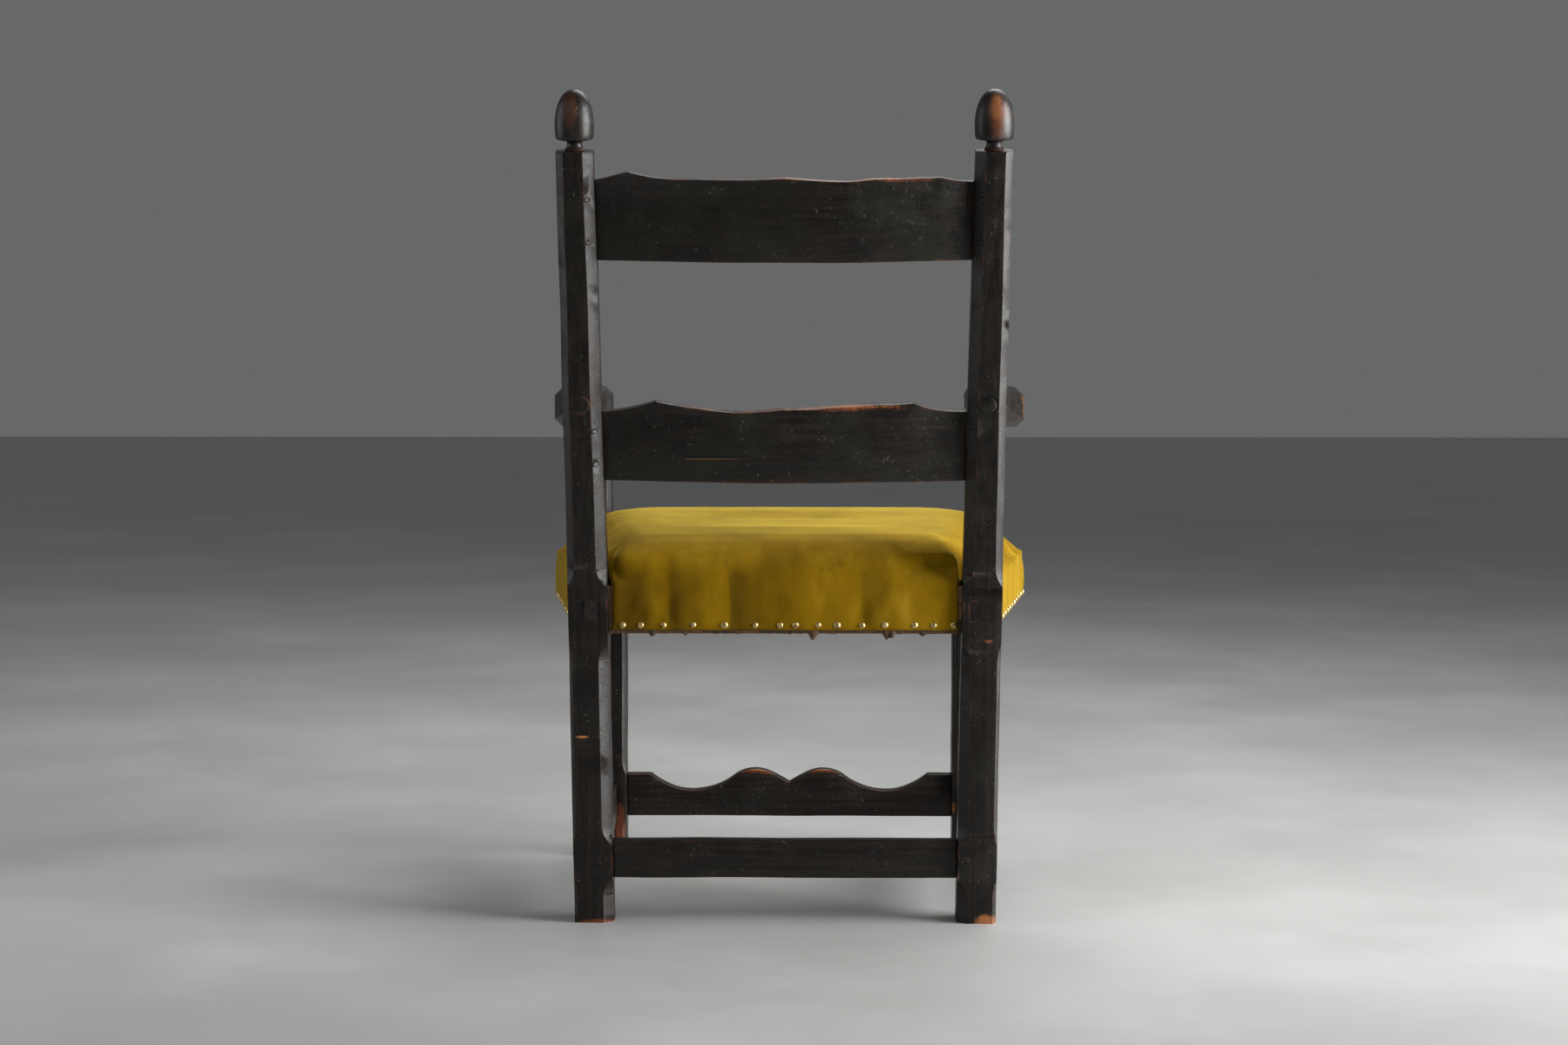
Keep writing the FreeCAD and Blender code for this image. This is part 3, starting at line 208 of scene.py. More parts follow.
def stainedWood(name, axis, oliveShare, wearShare, knocked=(), gloss=0.28):
    material, shader, start, place = finish(name, {"Specular IOR Level": gloss})
    fibre = start.speckle(start.stretch(place, grainScale[axis]), 3.0, 8.0, 0.68)
    cloud = start.speckle(place, 11.0, 4.0, 0.6)
    patch = start.speckle(place, 31.0, 5.0, 0.6)
    fine = start.speckle(place, 520.0, 2.0)
    colour = start.tint(fibre.step(0.34, 0.72), woodLook["deep"], woodLook["warm"])
    colour = start.tint(cloud.step(0.45, 0.7) * oliveShare, colour, woodLook["olive"])

    # rubbed arrises: the rounded normal parts from the true one
    soft = start.node("ShaderNodeBevel", {"samples": 6}, {"Radius": woodLook["arris"]})
    flat = start.node("ShaderNodeNewGeometry", out=1)
    edge = (1.0 - start.vector("DOT_PRODUCT", soft, flat)).step(0.004, 0.10)
    rub = edge * patch.step(0.66 - 0.36 * wearShare, 0.80 - 0.34 * wearShare)
    colour = start.tint(rub * 0.85, colour, woodLook["rubbed"])
    bare = edge * cloud.step(0.56, 0.72) * patch.step(0.5, 0.66)
    colour = start.tint(bare * wearShare, colour, woodLook["bare"])

    # knocks, each an uneven spot round its centre
    for centre, reach, shade, strength in knocked:
        away = start.vector("SUBTRACT", place, Vector(centre) * mm)
        near = start.vector("LENGTH", start.vector("DIVIDE", away, Vector(reach) * mm))
        hit = (1.0 - near + (patch - 0.5) * 1.6 + (fine - 0.5) * 0.8).step(-0.1, 0.5)
        colour = start.tint(hit * strength, colour, woodLook[shade])

    # scratches across the grain, and pale specks of plaster and dust
    across = start.speckle(start.stretch(place, woodLook["scratchScale"], woodLook["scratchTurn"]), 2.0, 2.0)
    scratch = across.step(0.70, 0.76) * patch.step(0.5, 0.62)
    colour = start.tint(scratch * 0.30, colour, woodLook["dust"])
    grit = start.speckle(place, 230.0, 3.0, 0.65)
    speck = grit.step(0.635, 0.70) * patch.step(0.36, 0.58)
    colour = start.tint(speck * 0.38, colour, woodLook["dust"])

    plug(shader, "Base Color", colour)
    plug(shader, "Roughness", 0.24 + 0.22 * fibre + 0.16 * patch.step(0.4, 0.7) + 0.32 * edge)
    raised(fibre * 0.7 + grit * 0.6 + patch * 0.8 - scratch * 0.6, shader, 0.60, 0.8 * mm)
    return material


# Rough sawn frame timber; tenon ends that come through the posts are stained with them.
rawLook = {
    "dull": rgb(0.10, 0.058, 0.030),
    "pale": rgb(0.26, 0.165, 0.090),
    "dirt": rgb(0.045, 0.030, 0.020),
    "stained": (214 * mm, 216 * mm),
}


def rawWood(name, axis):
    material, shader, start, place = finish(name, {"Specular IOR Level": 0.3})
    fibre = start.speckle(start.stretch(place, grainScale[axis]), 3.5, 7.0, 0.65)
    dirt = start.speckle(place, 14.0, 4.0)
    colour = start.tint(fibre.step(0.3, 0.75), rawLook["dull"], rawLook["pale"])
    colour = start.tint(dirt.step(0.45, 0.72) * 0.7, colour, rawLook["dirt"])
    through = place.part("y").step(*rawLook["stained"])
    stain = start.tint(fibre.step(0.34, 0.72), woodLook["deep"], woodLook["warm"])
    colour = start.tint(through, colour, stain)
    plug(shader, "Base Color", colour)
    plug(shader, "Roughness", 0.70 + 0.2 * fibre - 0.3 * through)
    raised(fibre, shader, 0.5, 0.8 * mm)
    return material


# Mustard velvet: short pile, brushed lighter and darker in drifts, with painted shade beside the folds of its
# rear face.
velvetLook = {
    "shade": rgb(0.125, 0.066, 0.0010),
    "body": rgb(0.235, 0.130, 0.0024),
    "brushed": rgb(0.350, 0.226, 0.018),
    "soil": rgb(0.085, 0.047, 0.003),
    # painted shade on one side of each fold and gather of the rear face: place along the rear and strength,
    # then the band that holds it
    "paintedFoldShade": [(218, 0.7), (201, 0.5), (147, 0.75), (71, 0.75), (-97, 0.4)],
    "behind": (190 * mm, 205 * mm),
    "below": (425 * mm, 470 * mm),
    "waver": 20 * mm,
    "crease": (-4 * mm, 3 * mm),
    "fade": (-55 * mm, -4 * mm),
}


def pileVelvet(name):
    material, shader, start, place = finish(name, {"Specular IOR Level": 0.05, "Sheen Weight": 0.42,
                                                   "Sheen Roughness": 0.35,
                                                   "Sheen Tint": rgb(0.85, 0.66, 0.12)})
    drift = start.speckle(start.stretch(place, (1.0, 1.0, 0.45)), 13.0, 5.0, 0.6)
    nap = start.speckle(start.stretch(place, (1.0, 1.0, 0.30)), 75.0, 4.0, 0.6)
    pile = start.speckle(place, 1500.0, 2.0)
    soil = start.speckle(place, 23.0, 5.0, 0.7)
    thread = start.speckle(place, 900.0, 1.0)
    colour = start.tint(drift.step(0.24, 0.60), velvetLook["shade"], velvetLook["body"])
    colour = start.tint((drift * 0.6 + nap * 0.4).step(0.50, 0.76) * 0.6, colour, velvetLook["brushed"])
    colour = start.tint(soil.step(0.60, 0.78) * 0.5, colour, velvetLook["soil"])
    along = place.part("x")
    lower = place.part("y").step(*velvetLook["behind"]) * (1.0 - place.part("z").step(*velvetLook["below"]))
    # painted shade: the soil colour laid on one side of each crease, fading over about 5 cm, only on the rear
    # face below its roll
    for shadedFold, strength in velvetLook["paintedFoldShade"]:
        beside = along + (drift - 0.5) * velvetLook["waver"] - shadedFold * mm
        foldShade = (1.0 - beside.step(*velvetLook["crease"])) * beside.step(*velvetLook["fade"])
        colour = start.tint(foldShade * lower * strength, colour, velvetLook["soil"])
    colour = start.tint(thread.step(0.70, 0.75) * 0.35, colour, velvetLook["brushed"])
    plug(shader, "Base Color", colour)
    plug(shader, "Roughness", 0.78 + 0.18 * nap)
    raised(pile * 0.5 + nap * 0.5, shader, 0.32, 0.7 * mm)
    return material


# Plain weave of jute, coarse for the straps and finer for the hessian.
def juteWeave(name, threads, light, dark):
    material, shader, start, place = finish(name, {"Specular IOR Level": 0.1})
    bands = [start.node("ShaderNodeTexWave", {"bands_direction": way, "wave_profile": "SIN"},
                        {"Vector": place, "Scale": threads, "Distortion": 0.6, "Detail": 1.0}, out=1)
             for way in ("X", "Y")]
    weave = bands[0] * bands[1]
    soil = start.speckle(place, 18.0, 4.0)
    colour = start.tint(weave.step(0.1, 0.7), dark, light)
    colour = start.tint(soil.step(0.5, 0.75) * 0.5, colour, dark)
    plug(shader, "Base Color", colour)
    plug(shader, "Roughness", 0.85 + 0.1 * soil)
    raised(weave, shader, 0.6, 0.6 * mm)
    return material


def driedLeather(name):
    material, shader, start, place = finish(name, {"Specular IOR Level": 0.3})
    cell = start.node("ShaderNodeTexVoronoi", {"feature": "DISTANCE_TO_EDGE"},
                      {"Vector": place, "Scale": 320.0})
    cloud = start.speckle(place, 40.0, 5.0, 0.65)
    colour = start.tint(cloud.step(0.35, 0.7), rgb(0.050, 0.026, 0.013), rgb(0.150, 0.080, 0.036))
    colour = start.tint(1.0 - cell.step(0.0, 0.12), colour, rgb(0.028, 0.016, 0.010))
    plug(shader, "Base Color", colour)
    plug(shader, "Roughness", 0.55 + 0.3 * cloud)
    raised(cell.step(0.0, 0.2) + cloud, shader, 0.5, 0.5 * mm)
    return material


def agedBrass(name):
    material, shader, start, place = finish(name, {"Metallic": 1.0})
    tarnish = start.speckle(place, 260.0, 4.0, 0.6)
    colour = start.tint(tarnish.step(0.42, 0.66), rgb(0.62, 0.47, 0.20), rgb(0.20, 0.135, 0.055))
    plug(shader, "Base Color", colour)
    plug(shader, "Roughness", 0.26 + 0.3 * tarnish)
    raised(tarnish, shader, 0.15, 0.2 * mm)
    return material


barWood = stainedWood("bar_wood", "x", 0.2, 0.5)
sideBarWood = stainedWood("side_bar_wood", "y", 0.2, 0.5)
postWood = stainedWood("post_wood", "z", 0.4, 0.5, knocks["post"])
slatWood = stainedWood("slat_wood", "x", 0.9, 0.7, knocks["slat"])
scrollWood = stainedWood("scroll_wood", "x", 0.1, 1.0, knocks["scroll"])
finialWood = stainedWood("finial_wood", "z", 0.0, 0.9, knocks["finial"], gloss=0.38)
pegWood = stainedWood("peg_wood", "y", 0.2, 0.0)
armWood = stainedWood("arm_wood", "y", 0.5, 0.65, knocks["arm"])
sawnWood = {axis: rawWood(f"sawn_wood_{axis}", axis) for axis in "xy"}
velvet = pileVelvet("mustard_velvet")
strapJute = juteWeave("strap_jute", 190.0, rgb(0.42, 0.32, 0.18), rgb(0.15, 0.10, 0.055))
hessianJute = juteWeave("hessian_jute", 260.0, rgb(0.36, 0.28, 0.165), rgb(0.12, 0.085, 0.05))
leather = driedLeather("dried_leather")
brass = agedBrass("aged_brass")
print("finishes ready")


# A finished piece rides on the chair and stands for its solid, which is hidden.
def settle(piece, node):
    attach(piece, "root")
    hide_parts(node)
    return piece


def pieceFrom(name, shape, material):
    mesh = bpy.data.meshes.new(name)
    shape.to_mesh(mesh)
    shape.free()
    mesh.materials.append(material)
    piece = bpy.data.objects.new(name, mesh)
    bpy.context.scene.collection.objects.link(piece)
    return piece


# The piece as its modifiers leave it, in a plain mesh.
def applied(piece):
    graph = bpy.context.evaluated_depsgraph_get()
    mesh = bpy.data.meshes.new_from_object(piece.evaluated_get(graph), depsgraph=graph)
    piece.modifiers.clear()
    old = piece.data
    piece.data = mesh
    bpy.data.meshes.remove(old)


def thickened(piece, thickness, offset):
    wall = piece.modifiers.new("thickness", "SOLIDIFY")
    wall.thickness = thickness
    wall.offset = offset
    applied(piece)


# A copy of a node's mesh with its corners joined.
def solidOf(node):
    shape = bmesh.new()
    shape.from_mesh(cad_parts[node].data)
    bmesh.ops.remove_doubles(shape, verts=shape.verts, dist=weld)
    return shape


# Corners of each separate part of a node, such as one nail of a row.
def partsOf(node):
    shape = solidOf(node)
    seen = set()
    parts = []
    for first in shape.verts:
        if first in seen:
            continue
        seen.add(first)
        part, grow = [], [first]
        while grow:
            corner = grow.pop()
            part.append(corner.co.copy())
            for edge in corner.link_edges:
                other = edge.other_vert(corner)
                if other not in seen:
                    seen.add(other)
                    grow.append(other)
        parts.append(part)
    shape.free()
    return parts


# Faces between loops with as many corners each, and over both ends.
def skinned(shape, loops):
    for lower, upper in zip(loops, loops[1:]):
        for index in range(len(lower)):
            following = (index + 1) % len(lower)
            shape.faces.new((lower[index], lower[following], upper[following], upper[index]))
    shape.faces.new(loops[-1])
    shape.faces.new(reversed(loops[0]))
    bmesh.ops.recalc_face_normals(shape, faces=shape.faces)


# Worked timber: the solid's own form with rubbed arrises, sliced across the grain so that it can wander.
timber = {
    "flat": math.radians(1.5),
    "sharp": math.radians(24),
    "arris": 1.3 * mm,
    "slice": 11 * mm,
    "sliver": 0.02 * mm,
    "wander": 0.9 * mm,
    "wanderScale": 9.0,
    "wanderSeed": 5,
    "chatter": 0.16 * mm,
    "chatterScale": 55.0,
    "smooth": math.radians(34),
}


def sliced(shape, node, along):
    low, high = (corner[along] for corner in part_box(node))
    normal = Vector([float(index == along) for index in range(3)])
    cuts = int((high - low) / timber["slice"])
    for cut in range(1, cuts):
        spot = normal * (low + (high - low) * cut / cuts)
        everything = shape.verts[:] + shape.edges[:] + shape.faces[:]
        bmesh.ops.bisect_plane(shape, geom=everything, plane_co=spot, plane_no=normal, dist=timber["sliver"])


def workedTimber(node, axis, material, arris=timber["arris"], reshape=None):
    along = "xyz".index(axis)
    shape = solidOf(node)
    bmesh.ops.dissolve_limit(shape, angle_limit=timber["flat"], verts=shape.verts, edges=shape.edges)
    sharp = [edge for edge in shape.edges
             if len(edge.link_faces) == 2 and edge.calc_face_angle() > timber["sharp"]]
    bmesh.ops.bevel(shape, geom=sharp, offset=arris, offset_type="OFFSET", segments=2, profile=0.5,
                    affect="EDGES", clamp_overlap=True)
    sliced(shape, node, along)
    shape.normal_update()
    for corner in shape.verts:
        place = corner.co
        drift = noise.noise_vector(place * timber["wanderScale"]) * timber["wander"]
        chatter = noise.noise(place * timber["chatterScale"]) * timber["chatter"]
        move = drift + corner.normal * chatter
        move[along] = 0.0
        if reshape:
            move = move + reshape(place)
        corner.co = place + move
    piece = pieceFrom(f"worked_{node}", shape, material)
    piece.data.set_sharp_from_angle(angle=timber["smooth"])
    return settle(piece, node)


noise.seed_set(timber["wanderSeed"])  # vector noise starts from the clock otherwise
for node in ("rear_post_left", "rear_post_right", "front_leg_left", "front_leg_right",
             "arm_support_left", "arm_support_right"):
    workedTimber(node, "z", postWood)
workedTimber("rear_stretcher", "x", barWood)
workedTimber("front_stretcher", "x", scrollWood)
for node in ("side_stretcher_left", "side_stretcher_right"):
    workedTimber(node, "y", sideBarWood)

# The upper edges of the slats were sawn by eye: how far each stands above the even curve, from +x to -x.
sawnByEye = {
    "top_slat": [(240, 0), (200, 3.5), (150, 0), (100, 1), (0, 0), (-80, -1.5), (-110, 1), (-160, -1),
                 (-188, -3.5), (-205, -3), (-240, -2)],
    "lower_slat": [(240, 0), (167, 1), (120, 0), (67, -2.5), (0, -0.5), (-21, 1), (-74, 4.5), (-105, 4),
                   (-157, -1), (-175, -2), (-240, 0)],
}
sawn = {"from": 0.45, "gain": 1.3}  # share of the height that keeps its line, and how soon the rest follows


def sawnEdge(node):
    steps = sawnByEye[node]
    low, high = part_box(node)

    def lift(place):
        x = place.x / mm
        height = (place.z - low.z) / (high.z - low.z)
        share = max(0.0, height - sawn["from"]) / (1 - sawn["from"])
        for (left, before), (right, after) in zip(steps, steps[1:]):
            if left >= x >= right:
                ease = (left - x) / (left - right)
                ease = ease * ease * (3 - 2 * ease)
                rise = (before + (after - before) * ease) * mm
                return Vector((0, 0, rise * min(1.0, share * sawn["gain"])))
        return Vector()

    return lift


for node in sawnByEye:
    workedTimber(node, "x", slatWood, reshape=sawnEdge(node))
for node in ("arm_left", "arm_right"):
    workedTimber(node, "y", armWood, arris=2.0 * mm)

# Slat pegs come out on the chamfer of a post and are pared down to it.
pared = {"arris": 0.5 * mm, "proud": 0.4 * mm, "faceGap": 0.9 * mm, "arrisGap": 0.45 * mm, "end": 9 * mm}


def paredEnd(node):
    pegs = [(sum(part, Vector()) / len(part), max(abs(spot.x) for spot in part), max(spot.y for spot in part))
            for part in partsOf(node)]

    def pare(place):
        middle, outer, rear = min(pegs, key=lambda peg: (peg[0] - place).length)
        chamfer = rear + pared["faceGap"] - (outer + pared["arrisGap"] - abs(place.x)) + pared["proud"]
        over = place.y - chamfer if place.y > rear - pared["end"] else 0.0
        return Vector((0, -max(0.0, over), 0))

    return pare


workedTimber("slat_pegs", "y", pegWood, arris=pared["arris"], reshape=paredEnd("slat_pegs"))
workedTimber("stretcher_pegs", "y", pegWood, arris=pared["arris"])
print("timber worked")


# Finials: an acorn on a short neck, turned afresh with a smooth profile on the axis of each solid.
finialShape = {
    "rake": math.radians(8.5),
    "height": 75 * mm,
    "segments": 48,
    "neck": [  # height above the post, radius
        (-6, 6), (0, 12), (1.5, 12.4), (3, 11.2), (6, 9.6), (9, 9.4), (11.5, 10.4), (12.6, 12.5), (13, 19),
        (13.4, 21.4), (14.5, 22.8), (17, 23.6), (21, 24.1),
    ],
    "belly": 30,
    "radius": 24.4,
    "domeRings": 22,
    "fullness": 0.93,  # 1 is an even dome
    "sharp": math.radians(50),
}


def finialProfile():
    profile = list(finialShape["neck"])
    rise = finialShape["height"] / mm - finialShape["belly"]
    for ring in range(finialShape["domeRings"]):
        angle = math.pi / 2 * ring / finialShape["domeRings"]
        profile.append((finialShape["belly"] + rise * math.sin(angle) ** finialShape["fullness"],
                        finialShape["radius"] * math.cos(angle) ** finialShape["fullness"]))
    return profile


def turnedFinials():
    up = Vector((0, math.sin(finialShape["rake"]), math.cos(finialShape["rake"])))
    aside = Vector((1, 0, 0))
    across = up.cross(aside)
    shape = bmesh.new()
    for side in (1, -1):
        corners = [corner.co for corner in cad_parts["finials"].data.vertices if corner.co.x * side > 0]
        middle = Vector([(min(spot[index] for spot in corners) + max(spot[index] for spot in corners)) / 2
                         for index in range(3)])
        top = max(spot.dot(up) for spot in corners)
        foot = middle + up * (top - finialShape["height"] - middle.dot(up))
        loops = []
        for height, radius in finialProfile():
            loop = []
            for step in range(finialShape["segments"]):
                angle = 2 * math.pi * step / finialShape["segments"]
                out = aside * math.cos(angle) + across * math.sin(angle)
                loop.append(shape.verts.new(foot + up * height * mm + out * radius * mm))
            loops.append(loop)
        skinned(shape, loops)
    piece = pieceFrom("turned_finials", shape, finialWood)
    for polygon in piece.data.polygons:
        polygon.use_smooth = True
    piece.data.set_sharp_from_angle(angle=finialShape["sharp"])
    return settle(piece, "finials")


turnedFinials()
print("finials turned")

# Seat frame, webbing and hessian show only from below and keep their solids.
seatFrame = {
    "rear_seat_rail": sawnWood["x"],
    "front_seat_rail": sawnWood["x"],
    "side_seat_rail_left": sawnWood["y"],
    "side_seat_rail_right": sawnWood["y"],
    "webbing_lengthwise": strapJute,
    "webbing_crosswise": strapJute,
    "hessian_sheet": hessianJute,
}
for node, material in seatFrame.items():
    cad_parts[node].data.materials.clear()
    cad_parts[node].data.materials.append(material)


# Velvet seat: a slightly small crowned form, swollen as cloth that is held along its hem.
seat = {
    "flare": math.radians(8),
    "frameCorner": 45 * mm,
    "rearCorner": 14 * mm,
    "cornerSteps": 8,
    "levels": [  # height, stand-off at the ends and along the flanks, roundness of the front corners
        (374, 4.5, 4, 46), (388, 5.5, 5.5, 48), (404, 7, 6, 50), (428, 6.5, 5, 50), (439, 6, 0, 52),
        (447, 5, -10, 56), (456, 2, -21, 60), (466, -4, -31, 64), (476, -12, -40, 64), (486, -26, -50, 64),
        (495, -46, -62, 64), (501, -80, -80, 64), (504.5, -150, -120, 56), (504, -215, -215, 24),
    ],
    "lean": 18 * mm,
    "leanFrom": 440 * mm,
    "leanOver": 50 * mm,
    "hollow": 8 * mm,
    "hollowWidth": 150 * mm,
    "hollowLength": 0.32,  # share of the seat's depth
    "postGap": 5 * mm,
    "postSplay": 6.5 * mm,  # a post stands further out at the seat than at its foot
    "postSkim": (1.0 * mm, 0.8 * mm),  # gap of the finished cover beside and before a post
    "postRoom": (0.2, 0.7),
    "supportGap": 4 * mm,
    "supportRoom": (0.43, 0.7),
    "roomEnd": 0.5,
    "voxel": 5 * mm,
    "opening": 1.5 * mm,
    "pinned": 7 * mm,
    "cloth": {
        "quality": 3,
        "mass": 0.35,
        "tension_stiffness": 12,
        "compression_stiffness": 12,
        "bending_stiffness": 1.2,
        "use_pressure": True,
        "uniform_pressure_force": 4.0,
        "shrink_min": -0.012,
    },
    "frames": 20,
    "cap": 6 * mm,
    "ironing": 5,
    "thickness": 2.2 * mm,
    "railGuard": 7 * mm,
    "railSkim": 0.6 * mm,
    "railReach": 20 * mm,
}
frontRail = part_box("front_seat_rail")
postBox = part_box("rear_post_left")
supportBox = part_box("arm_support_left")
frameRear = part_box("rear_seat_rail")[1].y
frameFront = frontRail[0].y
cornerY = frameFront + seat["frameCorner"]
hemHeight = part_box("velvet_cover")[0].z
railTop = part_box("side_seat_rail_left")[1].z


def sideAt(y):
    return frontRail[1].x - (y - cornerY) * math.tan(seat["flare"])


# Rounded trapezium of the frame grown by its stand-offs, with as many points for every level.
def seatRing(ends, flanks, frontCorner):
    rear, front = frameRear + ends, frameFront - ends
    rearCorner, steps = seat["rearCorner"], seat["cornerSteps"]
    ring = []
    for side, y, ahead, first, radius in ((1, front, 1, -90, frontCorner), (1, rear, -1, 0, rearCorner),
                                          (-1, rear, -1, 90, rearCorner), (-1, front, 1, 180, frontCorner)):
        middle = y + ahead * radius
        x = side * (sideAt(middle) + flanks - radius)
        for step in range(steps + 1):
            angle = math.radians(first + 90 * step / steps)
            ring.append((x + radius * math.cos(angle), middle + radius * math.sin(angle)))
    return ring


# The top leans back and has been sat hollow.
def satOn(x, y, height):
    share = max(0.0, min(1.0, (height - seat["leanFrom"]) / seat["leanOver"]))
    back = (y - frameFront) / (frameRear - frameFront)
    hollow = math.exp(-(x / seat["hollowWidth"]) ** 2) * math.exp(-((back - 0.5) / seat["hollowLength"]) ** 2)
    return height - share * (seat["lean"] * back + seat["hollow"] * hollow)


def seatBlank():
    shape = bmesh.new()
    loops = []
    for level in seat["levels"]:
        height, ends, flanks, frontCorner = (number * mm for number in level)
        loops.append([shape.verts.new((x, y, satOn(x, y, height)))
                      for x, y in seatRing(ends, flanks, frontCorner)])
    skinned(shape, loops)
    return pieceFrom("velvet_seat", shape, velvet)


# A box between two places along each axis, on one side of the chair.
def roomTool(side, xs, ys, zs):
    spans = (sorted(side * x for x in xs), ys, zs)
    shape = bmesh.new()
    bmesh.ops.create_cube(shape, size=1.0)
    for corner in shape.verts:
        corner.co = [span[0] if at < 0 else span[1] for at, span in zip(corner.co, spans)]
    return pieceFrom("seat_room", shape, velvet)


# Room for the posts and the arm supports, cut before the cloth is made.
def seatRooms():
    gap, end = seat["supportGap"], seat["roomEnd"]
    postInner = postBox[0].x - seat["postGap"] + seat["postSplay"]
    postFront = postBox[0].y - seat["postGap"]
    for side in (1, -1):
        yield roomTool(side, (postInner, end), (postFront, end), seat["postRoom"])
        yield roomTool(side, (supportBox[0].x - gap, supportBox[1].x + gap),
                       (supportBox[0].y - gap, supportBox[1].y + gap), seat["supportRoom"])


def cutForWood(piece):
    for room in seatRooms():
        cutter = piece.modifiers.new("room", "BOOLEAN")
        cutter.operation = "DIFFERENCE"
        cutter.solver = "EXACT"
        cutter.object = room
        applied(piece)
        bpy.data.objects.remove(room)
    remesh = piece.modifiers.new("even", "REMESH")
    remesh.mode = "VOXEL"
    remesh.voxel_size = seat["voxel"]
    applied(piece)


def ironed(shape, times):
    inner = [corner for corner in shape.verts if not corner.is_boundary]
    for number in range(times):
        bmesh.ops.smooth_vert(shape, verts=inner, factor=0.5,
                              use_axis_x=True, use_axis_y=True, use_axis_z=True)


# The underside opens, so that the hem hangs round the frame.
def openedUnder(piece):
    shape = bmesh.new()
    shape.from_mesh(piece.data)
    under = [face for face in shape.faces
             if face.calc_center_median().z < hemHeight + seat["opening"] and face.normal.z < -0.5]
    bmesh.ops.delete(shape, geom=under, context="FACES")
    ironed(shape, 1)
    shape.to_mesh(piece.data)
    shape.free()


# Cloth held at its hem swells over the stuffing; no point travels further than the cap.
def swollen(piece):
    start = [corner.co.copy() for corner in piece.data.vertices]
    held = piece.vertex_groups.new(name="held")
    for index, spot in enumerate(start):
        if spot.z < hemHeight + seat["pinned"]:
            held.add([index], 1.0, "REPLACE")
    cloth = piece.modifiers.new("cloth", "CLOTH")
    for name, setting in seat["cloth"].items():
        setattr(cloth.settings, name, setting)
    cloth.settings.effector_weights.gravity = 0
    cloth.settings.vertex_group_mass = "held"
    cloth.collision_settings.use_collision = False
    for number in range(1, seat["frames"] + 1):
        bpy.context.scene.frame_set(number)
    applied(piece)
    bpy.context.scene.frame_set(1)
    for corner, spot in zip(piece.data.vertices, start):
        move = corner.co - spot
        if move.length > 0:
            eased = seat["cap"] * (1 - math.exp(-move.length / seat["cap"]))
            corner.co = spot + move * (eased / move.length)
    piece.vertex_groups.clear()


# Each nail of the rear hem pulls the velvet in, soft folds run up the back, and gathers fan from its corners.
tug = {
    "nails": [206.6, 183.4, 154.5, 116.6, 76.9, 37.9, 6.2, -13.3, -42.1, -66.2, -97.8, -126.8, -164.6,
              -188.8, -214.3],  # unevenly spaced along the rear hem
    "depth": 1.6 * mm,
    "width": 7 * mm,
    "rise": 12 * mm,
    "folds": [  # place, lean, depth, width, rise
        (147, 0.02, 5.0, 8, 62), (71, -0.03, 4.6, 9, 66), (-97, 0.05, 2.4, 10, 54), (14, 0.04, 1.6, 18, 60),
        (216, -0.34, 5.0, 6, 48), (203, -0.22, 4.5, 6, 44), (188, -0.14, 3.0, 7, 36),
        (-216, 0.30, 3.5, 6, 34), (-204, 0.16, 2.5, 7, 30),
    ],
    "softSide": 0.55,  # a crease is steep on one side and this much softer on the other
    "dents": [  # place, height, depth, reach along and up, where the cover is drawn in behind a post
        (-230, 452, 30, 60, 26), (234, 436, 20, 24, 34),
    ],
    "from": 26 * mm,
    "over": 22 * mm,
    "least": 3.6 * mm,
    "above": 2 * mm,
    "release": 24 * mm,
}


def tugged(spot):
    rearward = max(0.0, min(1.0, (spot.y - frameRear + tug["from"]) / tug["over"]))
    if rearward == 0.0:
        return spot
    above = max(0.0, spot.z - hemHeight)
    pull = 0.0
    for x in tug["nails"]:
        away = (spot.x - x * mm) / tug["width"]
        pull += tug["depth"] * math.exp(-away ** 2) * math.exp(-above / tug["rise"])
    for x, lean, depth, width, rise in tug["folds"]:
        away = (spot.x - x * mm - above * lean) / (width * mm)
        crease = math.exp(-away ** 2) if away < 0 else math.exp(-away * tug["softSide"])
        pull += depth * mm * crease * math.exp(-(above / (rise * mm)) ** 2)
    for x, height, depth, along, up in tug["dents"]:
        share = ((spot.x / mm - x) / along) ** 2 + ((spot.z / mm - height) / up) ** 2
        pull += depth * mm * math.exp(-share)
    # the hem stays outside the leather strip and the rail
    free = max(0.0, spot.z - railTop - tug["above"])
    least = frameRear + tug["least"] - min(free, tug["release"])
    return Vector((spot.x, max(spot.y - pull * rearward, min(spot.y, least)), spot.z))


# A point of the cover kept out of the posts and outside the upper corner of the side rails.
def clearOfWood(spot):
    side = 1 if spot.x > 0 else -1
    x, y = abs(spot.x), spot.y
    beside, before = seat["postSkim"]
    postInner = postBox[0].x + seat["postSplay"] - beside
    postFront = postBox[0].y - before
    if x > postInner and y > postFront:
        if x - postInner < y - postFront:
            x = postInner
        else:
            y = postFront
    wall = seat["thickness"] + seat["railSkim"]
    low = spot.z < railTop + seat["railGuard"]
    if low and cornerY < y < postFront:
        reach = sideAt(y) + wall
        if reach - seat["railReach"] < x < reach:
            x = reach
    elif low and y <= cornerY:
        middle = Vector((sideAt(cornerY) - seat["frameCorner"], cornerY))
        away = Vector((x, y)) - middle
        reach = seat["frameCorner"] + wall
        if away.x > 0 and reach - seat["railReach"] < away.length < reach:
            x, y = middle + away.normalized() * reach
    return Vector((side * x, y, spot.z))


